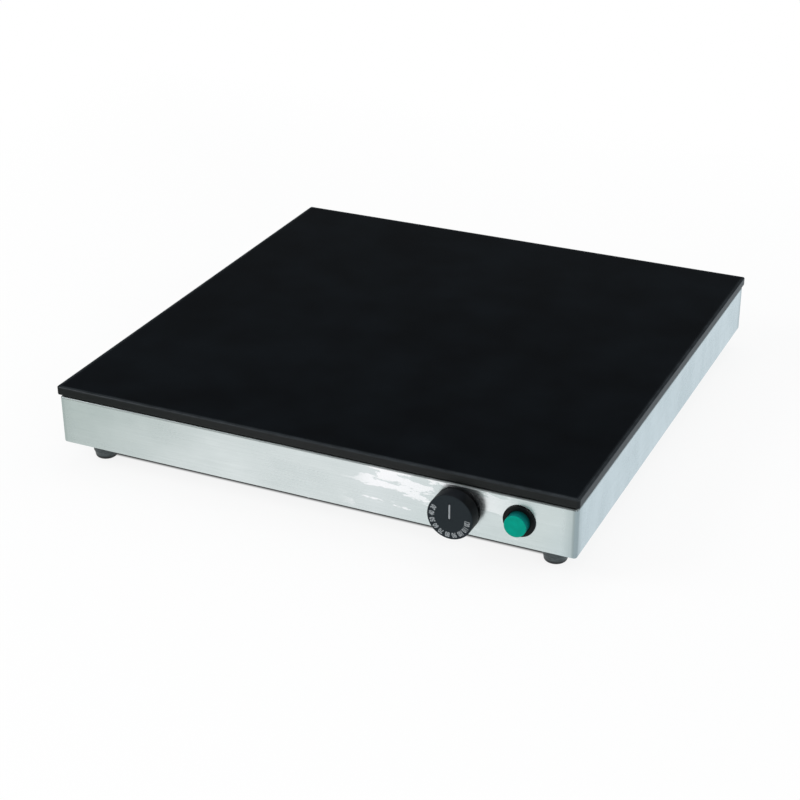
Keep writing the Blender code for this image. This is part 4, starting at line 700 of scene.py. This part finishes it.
def make_base():
    """Galvanised base sheet with its vents and screw holes."""
    low, high = box_of("base_plate")
    width, depth, thick = high - low
    holes = [disc(radius, SMALL_DISC) + box_of(node).mean(0)[:2] for node, radius in BASE_HOLES.items()]
    for side in (-1, 1):
        for step in range(VENTS):
            back = VENT_BACK + (step - (VENTS - 1) / 2) * VENT_PITCH
            spot = (PLATE_X + side * VENT_OUT, PLATE_Y + back)
            holes.append(box_outline(VENT_LENGTH, VENT_WIDTH, VENT_ROUND, spot, 8))
    outline = box_outline(width, depth, BASE_CORNER, (PLATE_X, PLATE_Y), 8)
    mesh = flat_sheet(outline, [hole[::-1] for hole in holes], thick, BASE_EDGE)
    mesh.transform(Matrix.Translation((0, 0, (low[2] + high[2]) / 2)))
    tidy(mesh)
    # Its edge is too fine to shade round, and smooth shading would spread over the flat
    mesh.shade_flat()
    show("base_sheet", mesh, "galvanised", "galvanised_steel", "base_plate")


# Groups of screws that show from below: name, places, radius of the shank, radius and height of the head
SCREWS = (
    ("base_screw", BASE_SCREWS, 1.7 * MM, 3.6 * MM, 2.2 * MM),
    ("foot_screw", FEET, 2.5 * MM, 4.5 * MM, 2.8 * MM),
    ("earth_screw", ("",), 1.9 * MM, 3.6 * MM, 2.2 * MM),
)
# Shares of a head's radius: its crown, the recess's arms and their width
CROWN_REACH, RECESS_REACH, RECESS_WIDTH = 0.72, 0.6, 0.26
# Shares of a head's height: the crown's fall, its straight side, the round above it and the recess's depth
CROWN_FALL, HEAD_SIDE, HEAD_ROUND, RECESS_DEPTH = 0.12, 0.62, 0.25, 0.55
RECESS_WALL, RECESS_TAPER = 0.12 * MM, 0.45
TIP_ROUND = 0.4


def cross_recess(points, reach, width, depth):
    """How far a cross recess sinks a screw's crown: the whole depth inside both arms of |x| and |y|, with
    steep walls, and less depth towards the ends of the arms."""
    near, far = np.sort(np.abs(points[..., :2]), axis=-1)[..., 0], np.abs(points[..., :2]).max(-1)
    inside = np.clip((width / 2 - near) / RECESS_WALL + 0.5, 0, 1)
    inside = inside * np.clip((reach - far) / RECESS_WALL + 0.5, 0, 1)
    return depth * inside * (1 - RECESS_TAPER * far / reach)


def screw_points(head_radius, head_height, radius, length):
    """Pan-head screw: crown, round edge, flat underside and plain shank turned about the axis, with a cross
    recess sunk into the crown."""
    reach = np.linspace(0, head_radius * CROWN_REACH, 34)
    crown = np.column_stack([reach, head_height * (1 - CROWN_FALL * (reach / head_radius) ** 2)])
    corners = [crown[-1], (head_radius, head_height * HEAD_SIDE), (head_radius, 0), (radius, 0)]
    corners += [(radius, -length), (0, -length)]
    edge = rounded(corners, [0, head_height * HEAD_ROUND, 0.1 * MM, 0, radius * TIP_ROUND, 0], 6, 0.02 * MM)
    points = turned(np.concatenate([crown[:-1], edge]))
    crown = points[: len(crown) - 2]
    arms = head_radius * RECESS_REACH, head_radius * RECESS_WIDTH, head_height * RECESS_DEPTH
    crown[..., 2] -= cross_recess(crown, *arms)
    return points


def make_screws():
    """Screws that show from below."""
    for group, names, radius, head_radius, head_height in SCREWS:
        for name in names:
            node = f"{group}_{name}".rstrip("_")
            low, high = box_of(node)
            x, y, _ = (low + high) / 2
            seat = low[2] + head_height
            points = screw_points(head_radius, head_height, radius, high[2] - seat)
            names = "zinc", "zinc_plated_steel", node
            piece(f"pan_{node}", points, (x, y, seat), DOWNWARDS, *names, closed=False)


FOOT_HOLE = 2.8 * MM
FOOT_RECESS, FOOT_RECESS_TOP = 5.5 * MM, 9 * MM
TREAD_RADIUS = 9.8 * MM
STEP_LOW, STEP_HIGH = (10.8 * MM, 6.6 * MM), (11.5 * MM, 7.4 * MM)


def make_feet():
    """Rubber feet: a tapered bowl with a shallow step round it, a rounded tread and a recess for a screw."""
    low, high = box_of("foot_front_left")
    height, top_radius = high[2] - low[2], (high[0] - low[0]) / 2
    corners = [
        (FOOT_RECESS, 0), (TREAD_RADIUS, 0), STEP_LOW, STEP_HIGH, (top_radius, height), (FOOT_HOLE, height),
        (FOOT_HOLE, FOOT_RECESS_TOP), (FOOT_RECESS, FOOT_RECESS_TOP),
    ]
    profile = rounded(corners, np.array([0.5, 2.8, 0.5, 0.6, 0.8, 0.2, 0.2, 0.4]) * MM, 8)
    for name in FEET:
        low, high = box_of(f"foot_{name}")
        x, y, _ = (low + high) / 2
        names = "rubber", "dark_rubber", f"foot_{name}"
        piece(f"rubber_foot_{name}", turned(profile), (x, y, low[2]), UPWARDS, *names)


# Controls

KNOB_CROWN = 0.6 * MM
KNOB_EDGE = 1.2 * MM
KNOB_WALL = 2.2 * MM
KNOB_FACE_WALL = 3.4 * MM
KNOB_RIM = KNOB_FRONT - KNOB_CROWN
BOSS_RADIUS = 6.5 * MM
BOSS_BACK = KNOB_BACK + 1 * MM
SHAFT_BORE = 3.3 * MM
SHAFT_FLAT = 2.1 * MM
SHAFT_HOLE_FRONT = reach_of("thermostat_shaft")[0] + CLEAR
POINTER_LOW, POINTER_HIGH, POINTER_WIDTH = -0.9 * MM, 12.5 * MM, 1.5 * MM
GROOVE_LOW, GROOVE_HIGH, GROOVE_WIDTH = -1.6 * MM, 14.4 * MM, 2.2 * MM
GROOVE_FLOOR = KNOB_RIM - 0.15 * MM
POINTER_SINK, POINTER_SOFT = 0.12 * MM, 0.12 * MM
INK_RISE, INK_ROOT = 0.03 * MM, 0.05 * MM
FIRST_MARK, MARK_STEP = 63.5, 22.1
MARK_VALUES = range(30, 121, 10)
NUMERAL_RADIUS, NUMERAL_HEIGHT, NUMERAL_BOLD = 16.0 * MM, 5.0 * MM, 0.035
NUMERAL_WIDTHS = {2: 4.2 * MM, 3: 4.5 * MM}


def crowned(radius):
    """Height of the knob's face: the rim's height, plus a crown that falls off with the radius squared."""
    return KNOB_RIM + KNOB_CROWN * (1 - (radius / (KNOB_RADIUS - KNOB_EDGE)) ** 2)


def numeral(text):
    """Thin raised number, centred: points (across, up, 0 or 1 for its back or front) and faces."""
    curve = bpy.data.curves.new("numeral", "FONT")
    curve.body, curve.align_x, curve.size = text, "CENTER", 1.0
    curve.offset, curve.extrude, curve.resolution_u = NUMERAL_BOLD, 0.01, 3
    mesh = baked(in_scene("numeral", curve))
    points = np.empty(3 * len(mesh.vertices))
    mesh.vertices.foreach_get("co", points)
    points = points.reshape(-1, 3)
    low, high = points.min(0), points.max(0)
    share = (points - low) / (high - low)
    flat = (share[:, :2] - 0.5) * (NUMERAL_WIDTHS[len(text)], NUMERAL_HEIGHT)
    faces = [tuple(face.vertices) for face in mesh.polygons]
    return np.column_stack([flat + (0, NUMERAL_RADIUS), share[:, 2]]), faces


def make_knob():
    """Thermostat knob: a cup turned about its axis, with a crowned face, a groove for the pointer and a boss
    for the shaft."""
    inside, under = KNOB_RADIUS - KNOB_WALL, KNOB_RIM - KNOB_FACE_WALL
    corners = [
        (KNOB_RADIUS / 2, KNOB_RIM), (KNOB_RADIUS, KNOB_RIM), (KNOB_RADIUS, KNOB_BACK), (inside, KNOB_BACK),
        (inside, under), (BOSS_RADIUS, under), (BOSS_RADIUS, BOSS_BACK), (0, BOSS_BACK),
    ]
    radii = np.array([0, KNOB_EDGE, 0.5 * MM, 0.4 * MM, 0.8 * MM, 0.5 * MM, 0.3 * MM, 0])
    face = np.linspace(0, KNOB_RADIUS - KNOB_EDGE - GUARD, 18)[:-1]
    profile = np.concatenate([np.column_stack([face, crowned(face)]), rounded(corners, radii, 8)[1:]])
    mesh = grid_mesh(place(turned(profile, 160), KNOB_CENTRE, FORWARDS), closed=False)
    bore = disc(SHAFT_BORE)
    bore[:, 1] = np.minimum(bore[:, 1], SHAFT_FLAT)
    shaft = pillar(bore, 0, SHAFT_HOLE_FRONT, KNOB_CENTRE, FORWARDS)
    middle = (0, (GROOVE_LOW + GROOVE_HIGH) / 2)
    slot = box_outline(GROOVE_WIDTH, GROOVE_HIGH - GROOVE_LOW, 0.49 * GROOVE_WIDTH, middle)
    groove = pillar(slot, GROOVE_FLOOR, KNOB_FRONT + OVERRUN, KNOB_CENTRE, FORWARDS)
    show("dial_knob", drilled(mesh, shaft, groove), "knob", "knob_black", "knob", body="knob")


def make_pointer():
    """Pointer inlaid in the groove: its half width is the lesser of half its full width and the chord of its
    round ends, and its top follows the face's crown, a little below it, with softened long edges."""
    up = (1 - np.cos(np.linspace(0, np.pi, 41))) / 2
    up = POINTER_LOW + (POINTER_HIGH - POINTER_LOW) * up
    half = POINTER_WIDTH / 2
    beyond = np.maximum(np.maximum(POINTER_LOW + half - up, up - POINTER_HIGH + half), 0)
    half_width = np.sqrt(np.maximum(half**2 - beyond**2, 0))
    top = crowned(up) - POINTER_SINK
    bottom = np.full_like(up, GROOVE_FLOOR - INK_ROOT)
    across = np.array([-1, -1, -1, -0.7, 0, 0.7, 1, 1, 1])
    drop = np.array([1, 1, 0.5, 0, 0, 0, 0.5, 1, 1]) * POINTER_SOFT
    height = np.where(np.arange(9) % 8 == 0, bottom[:, None], top[:, None] - drop)
    points = np.stack([half_width[:, None] * across, np.broadcast_to(up[:, None], height.shape), height], -1)
    names = "inlay", "white_insulation"
    piece("dial_pointer", points, KNOB_CENTRE, FORWARDS, *names, body="knob", closed=False)


def make_marks():
    """Numbers printed round the face. A number at angle t anticlockwise from the top has its own up along
    (-sin t, cos t), and each of its points lies a little over or under the crowned face."""
    spots, faces, count = [], [], 0
    for step, value in enumerate(MARK_VALUES):
        angle = np.radians(FIRST_MARK + MARK_STEP * step)
        axes = np.array([[np.cos(angle), np.sin(angle)], [-np.sin(angle), np.cos(angle)]])
        points, number_faces = numeral(str(value))
        flat = points[:, :2] @ axes
        height = crowned(np.linalg.norm(flat, axis=1)) - INK_ROOT + (INK_ROOT + INK_RISE) * points[:, 2]
        spots.append(np.column_stack([flat, height]))
        faces += [tuple(count + corner for corner in face) for face in number_faces]
        count += len(points)
    mesh = bpy.data.meshes.new("dial_numbers")
    mesh.from_pydata(place(np.concatenate(spots), KNOB_CENTRE, FORWARDS), [], faces)
    tidy(mesh)
    show("dial_numbers", mesh, "ink", "white_insulation", body="knob")


CAP_WALL = 1.2 * MM
CAP_FACE_WALL = 1.6 * MM
SLEEVE_BORE = CAP_RADIUS + CLEAR
SLEEVE_BACK = -20 * MM
LIP_RADIUS, LIP_FRONT, LIP_BACK = 8.5 * MM, -5.6 * MM, -7.1 * MM
SPRING_WIRE = 0.45 * MM
SPRING_COILS = 5


def make_button():
    """Push button: a bezel ring with its threaded sleeve, and the hollow green lens that slides in it."""
    corners = [
        (BEZEL_RADIUS, BEZEL_FRONT), (BEZEL_RADIUS, CLEAR), (SLEEVE_RADIUS, CLEAR),
        (SLEEVE_RADIUS, SLEEVE_BACK), (SLEEVE_BORE, SLEEVE_BACK), (SLEEVE_BORE, LIP_BACK),
        (LIP_RADIUS, LIP_BACK), (LIP_RADIUS, LIP_FRONT), (SLEEVE_BORE, LIP_FRONT), (SLEEVE_BORE, BEZEL_FRONT),
    ]
    radii = np.array([0.7, 0.15, 0.1, 0.3, 0.2, 0.1, 0.2, 0.2, 0.1, 0.45]) * MM
    points = turned(rounded(corners, radii, 6, 0.05 * MM), 128)
    piece("button_ring", points, BUTTON_CENTRE, FORWARDS, "bezel", "bezel_black", "button_bezel")
    inside, under = CAP_RADIUS - CAP_WALL, CAP_FRONT - CAP_FACE_WALL
    corners = [
        (0, CAP_FRONT), (CAP_RADIUS, CAP_FRONT), (CAP_RADIUS, CAP_BACK), (inside, CAP_BACK), (inside, under),
        (0, under),
    ]
    radii = np.array([0, 0.7, 0.2, 0.2, 0.4, 0]) * MM
    points = turned(rounded(corners, radii, 8, 0.08 * MM), 128)
    names = "lens", "button_green", "button_cap"
    piece("button_lens", points, BUTTON_CENTRE, FORWARDS, *names, body="button", closed=False)


def make_spring():
    """Return spring behind the button's carrier. Its wire's middle runs along a helix, (radius cos t,
    radius sin t, height), with a ring of points square to it."""
    front, back, reach = reach_of("button_spring")
    radius = reach - SPRING_WIRE
    turn = np.linspace(0, 2 * np.pi * SPRING_COILS, 48 * SPRING_COILS + 1)[:, None]
    height = np.linspace(back + SPRING_WIRE, front - SPRING_WIRE, len(turn))[:, None]
    out = np.hstack([np.cos(turn), np.sin(turn), 0 * turn])
    rise = np.full_like(turn, (front - back - 2 * SPRING_WIRE) / turn[-1])
    along = np.hstack([-radius * np.sin(turn), radius * np.cos(turn), rise])
    level = unit(np.cross(out, along))
    middle = radius * out + height * (0, 0, 1)
    wire = disc(SPRING_WIRE, 12)
    points = middle[:, None] + wire[:, :1] * out[:, None] + wire[:, 1:] * level[:, None]
    names = "spring", "spring_steel", "button_spring"
    spring = piece("return_spring", points, BUTTON_CENTRE, FORWARDS, *names, closed=False, caps=True)
    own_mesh(spring)


# The gland's outlines, in mm: radius, height from the wall and round of each corner
HEX_FLATS = 22 * MM
GLAND_BODY = (
    (11.6, 0.3, 0.1), (12.7, 0.95, 0.2), (12.7, 4.65, 0.2), (11.6, 5.3, 0.1), (8, 5.3, 0), (8, 13.3, 0.3),
    (6.6, 13.3, 0.1), (6.6, 6, 0.1), (5, 6, 0.1), (5, -10, 0.3), (8, -10, 0.3), (8, 0.3, 0),
)
GLAND_NUT = (
    (11.6, 5.6, 0.1), (12.7, 6.25, 0.2), (12.7, 11.4, 0.3), (10.3, 13.6, 0.8), (9.9, 16.2, 2.0),
    (7.4, 18.6, 0.8), (5.6, 18.6, 0.3), (5.0, 17.6, 0.3), (5.0, 13.6, 0.1), (8.3, 13.6, 0.1), (8.3, 5.6, 0.2),
)
GLAND_SEAL = ((6.3, 6.3, 0.3), (6.3, 13.0, 0.3), (4.0, 13.0, 0.6), (4.0, 6.3, 0.6))


def hexed(profile, beyond):
    """Turned profile whose rows beyond a radius are cut to a hexagon, so that a cone row leaves the curved
    chamfer of a real nut. The hexagon's edge lies at half its flats over cos of the angle that is left to the
    middle of the nearest flat, and the radius is the lesser of that and the row's own."""
    points = turned(profile)
    angle = np.linspace(0, 2 * np.pi, points.shape[1], endpoint=False)
    edge = HEX_FLATS / 2 / np.cos((angle + np.pi / 6) % (np.pi / 3) - np.pi / 6)
    radius = np.linalg.norm(points[..., :2], axis=-1)
    cut = profile[:, :1] > beyond
    points[..., :2] *= np.where(cut, np.minimum(radius, edge) / np.maximum(radius, WELD), 1)[..., None]
    return points


def make_gland():
    """Cable gland on the back wall: hexagon body, domed nut and the rubber seal in its mouth."""
    outlines = [np.array(rows) * MM for rows in (GLAND_BODY, GLAND_NUT, GLAND_SEAL)]
    body, nut, seal = [(rows[:, :2], rows[:, 2]) for rows in outlines]
    points = hexed(rounded(*body, 3, 0.03 * MM), 8.2 * MM)
    piece("gland_hex_body", points, GLAND_CENTRE, BACKWARDS, "nylon", "nylon_grey", "gland_body")
    points = hexed(rounded(*nut, 6, 0.03 * MM), 10.35 * MM)
    piece("gland_cap_nut", points, GLAND_CENTRE, BACKWARDS, "nylon", "nylon_grey", "gland_dome_nut")
    points = turned(rounded(*seal, 6, 0.05 * MM), 64)
    piece("gland_grommet", points, GLAND_CENTRE, BACKWARDS, "seal_rubber", "dark_rubber", "gland_seal")


make_finishes()
make_casing()
make_glass()
make_base()
make_screws()
make_feet()
make_knob()
make_pointer()
make_marks()
make_button()
make_spring()
make_gland()

# CAD nodes that keep their shape, under their finish. The longest name that a node starts with counts.
KEPT = {
    "aluminium": "heat_spreader",
    "mat": "heater_mat",
    "wool": "insulation_pad",
    "galvanised": "crossbar",
    "ivory": "thermostat_body terminal_block",
    "zinc": "thermostat_screw terminal_block_screw foot_nut",
    "brass": "thermostat_shaft earth_nut",
    "copper": "capillary_tube sensing_bulb",
    "spring": "bulb_clip knob_clip",
    "nylon": "overheat_cutout button_carrier switch_body gland_locknut",
    "bezel": "button_nut",
    "lamp": "indicator_lamp",
    "brown": "wire_live wire_switched",
    "white": "wire_regulated wire_heater",
    "blue": "wire_neutral",
    "earth": "wire_earth",
}
for name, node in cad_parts.items():
    looks = {start: look for look, group in KEPT.items() for start in group.split() if name.startswith(start)}
    if looks:
        for material_slot in node.material_slots:
            material_slot.material = FINISHES[looks[max(looks, key=len)]]

# Floor, light and camera

FLOOR_RADIUS, FLOOR_COLUMNS, FLOOR_DROP = 60, 64, -0.2 * MM
SHADOW_CORE, SHADOW_EDGE = 0.2152, 0.2200
MIRROR_LEFT, MIRROR_MIDDLE, MIRROR_RIGHT = (-0.34, -0.08), (0.03, 0.12), (0.19, 0.27)
MIRROR_COLOURS = "#c8d0cc", "#ffffff", "#f0f4f3", "#e0ebf3"
OPEN_FLOOR = 0.9
NEAR_WHITE, FAR_WHITE = 0.86, 1.0
UNDER_LIGHT = 0.7


def cleared(made):
    """The nodes of a material or world, with none in them."""
    made.use_nodes = True
    made.node_tree.nodes.clear()
    return made.node_tree


def mixed(tree, factor, first, second):
    """Mix of two shaders by a factor."""
    return add(tree, "MixShader", {0: factor, 1: first, 2: second})[0]


def make_floor():
    """Plain white floor. Camera and mirror rays see it mostly as white, so that the ground is white and the
    object's shadow stays faint, but deep under the plate it keeps its full shadow. How far a point lies out
    is the greater of its distances across and along."""
    radii = np.array([[FLOOR_RADIUS, 0], [OPEN_FLOOR, 0], [0, 0]], float)
    mesh = grid_mesh(place(turned(radii, FLOOR_COLUMNS), (0, 0, FLOOR_DROP)), closed=False, raw=True)
    look = bpy.data.materials.new("studio_floor_white")
    tree = cleared(look)
    across, along, _ = object_axes(tree)
    along = off(along, PLATE_Y)
    out = maths("MAXIMUM", maths("ABSOLUTE", across), along)
    glow = ramp(out, SHADOW_CORE, SHADOW_EDGE)
    spread = {"Value": out, "From Min": CASING_WIDTH / 2, "From Max": OPEN_FLOOR}
    whiter = add(tree, "MapRange", {**spread, "To Min": NEAR_WHITE, "To Max": FAR_WHITE})
    path = add(tree, "LightPath")
    seen = maths("MAXIMUM", path["Is Camera Ray"], path["Is Glossy Ray"])
    seen = maths("MAXIMUM", seen, path["Is Transmission Ray"])
    share = times(seen, whiter["Result"])
    # Under the plate the floor lights the underside, but the camera doesn't see it do so
    bounced = maths("MAXIMUM", path["Is Diffuse Ray"], path["Is Glossy Ray"])
    under = times(maths("SUBTRACT", 1.0, glow), bounced)
    share = maths("MAXIMUM", share, under)
    glow = blend(under, glow, UNDER_LIGHT)
    matt = add(tree, "BsdfDiffuse", {"Color": (0.9, 0.9, 0.9, 1)})[0]
    # In mirror images the floor is brightest in front of the controls, as under a window there
    mirrored = MIRROR_COLOURS[0]
    for colour, ends in zip(MIRROR_COLOURS[1:], (MIRROR_LEFT, MIRROR_MIDDLE, MIRROR_RIGHT)):
        mirrored = blend(ramp(across, *ends), mirrored, colour)
    mirrored = blend(path["Is Glossy Ray"], "#ffffff", mirrored)
    white = add(tree, "Emission", {"Color": mirrored, "Strength": glow})[0]
    # From below, the floor lets the camera through
    clear = add(tree, "BsdfTransparent")[0]
    below = add(tree, "NewGeometry")["Backfacing"]
    add(tree, "OutputMaterial", {"Surface": mixed(tree, below, mixed(tree, share, matt, white), clear)})
    mesh.materials.append(look)
    in_scene("floor", mesh)


def make_world():
    """Studio room: white to the camera, dim to mirror rays above the horizon, plain grey light otherwise."""
    world = bpy.data.worlds.new("studio")
    bpy.context.scene.world = world
    tree = cleared(world)
    path = add(tree, "LightPath")
    room, dim, white = (
        add(tree, "Background", {"Color": (*colour, 1), "Strength": strength})[0]
        for colour, strength in (((0.97, 0.99, 1.0), 0.5), ((0.9, 0.96, 1.0), 0.06), ((1, 1, 1), 1.0))
    )
    both = mixed(tree, path["Is Glossy Ray"], room, dim)
    add(tree, "OutputWorld", {"Surface": mixed(tree, path["Is Camera Ray"], both, white)})


# Soft lights, all turned to the plate's middle: place, width, height, power and colour
LIGHTS = {
    "key": ((-1.81, -1.27, 1.55), 1.5, 1.1, 26, (1, 1, 1)),
    "fill": ((1.35, -1.75, 1.3), 1.2, 1.0, 12, (1, 1, 1)),
    "overhead": ((0.1, 0.35, 2.3), 1.6, 1.2, 9, (1, 1, 1)),
    "side": ((2.3, 0.9, 1.3), 1.6, 1.2, 12, (0.93, 0.97, 1.0)),
}


def looking(made, spot, right, up, away):
    """Puts a light or a camera at a spot, given the directions of its own three axes."""
    turn = np.column_stack([right, up, away])
    made.matrix_world = Matrix.Translation(spot) @ Matrix(turn.tolist()).to_4x4()


def make_lights():
    for name, (spot, width, height, power, colour) in LIGHTS.items():
        data = bpy.data.lights.new(name, "AREA")
        data.shape, data.size, data.size_y = "RECTANGLE", width, height
        data.energy, data.color = power, colour
        away = unit(np.array(spot))
        side = unit(np.cross((0, 0, 1), away))
        looking(in_scene(name, data), spot, side, np.cross(away, side), away)


# The photograph's view, solved from the corners of the glass and the casing. The camera aims a little off the
# casing's middle.
AZIMUTH, ELEVATION, ROLL = np.radians([24.988, 26.893, -0.36])
DISTANCE, SHIFT_RIGHT, SHIFT_UP = 1.7446, -0.02182, -0.01849
FOCAL_PIXELS, PICTURE_PIXELS, SENSOR, CLIP_END = 1784.9, 800, 36, 50


def make_camera():
    """Camera at the photograph's angle: 25 degrees to the right of the front and 26.9 degrees up."""
    flat = np.cos(ELEVATION)
    back = np.array([np.sin(AZIMUTH) * flat, -np.cos(AZIMUTH) * flat, np.sin(ELEVATION)])
    level = np.array([np.cos(AZIMUTH), np.sin(AZIMUTH), 0])
    rise = np.cross(back, level)
    right = np.cos(ROLL) * level + np.sin(ROLL) * rise
    up = np.cos(ROLL) * rise - np.sin(ROLL) * level
    spot = np.array([PLATE_X, PLATE_Y, CASING_LOW[2]]) + back * DISTANCE + right * SHIFT_RIGHT + up * SHIFT_UP
    data = bpy.data.cameras.new("camera")
    data.sensor_width, data.clip_end = SENSOR, CLIP_END
    data.lens = FOCAL_PIXELS / PICTURE_PIXELS * SENSOR
    camera = in_scene("camera", data)
    looking(camera, spot, right, up, back)
    bpy.context.scene.camera = camera


make_floor()
make_world()
make_lights()
make_camera()
bpy.context.scene.view_settings.view_transform = "Standard"

bpy.context.view_layer.update()
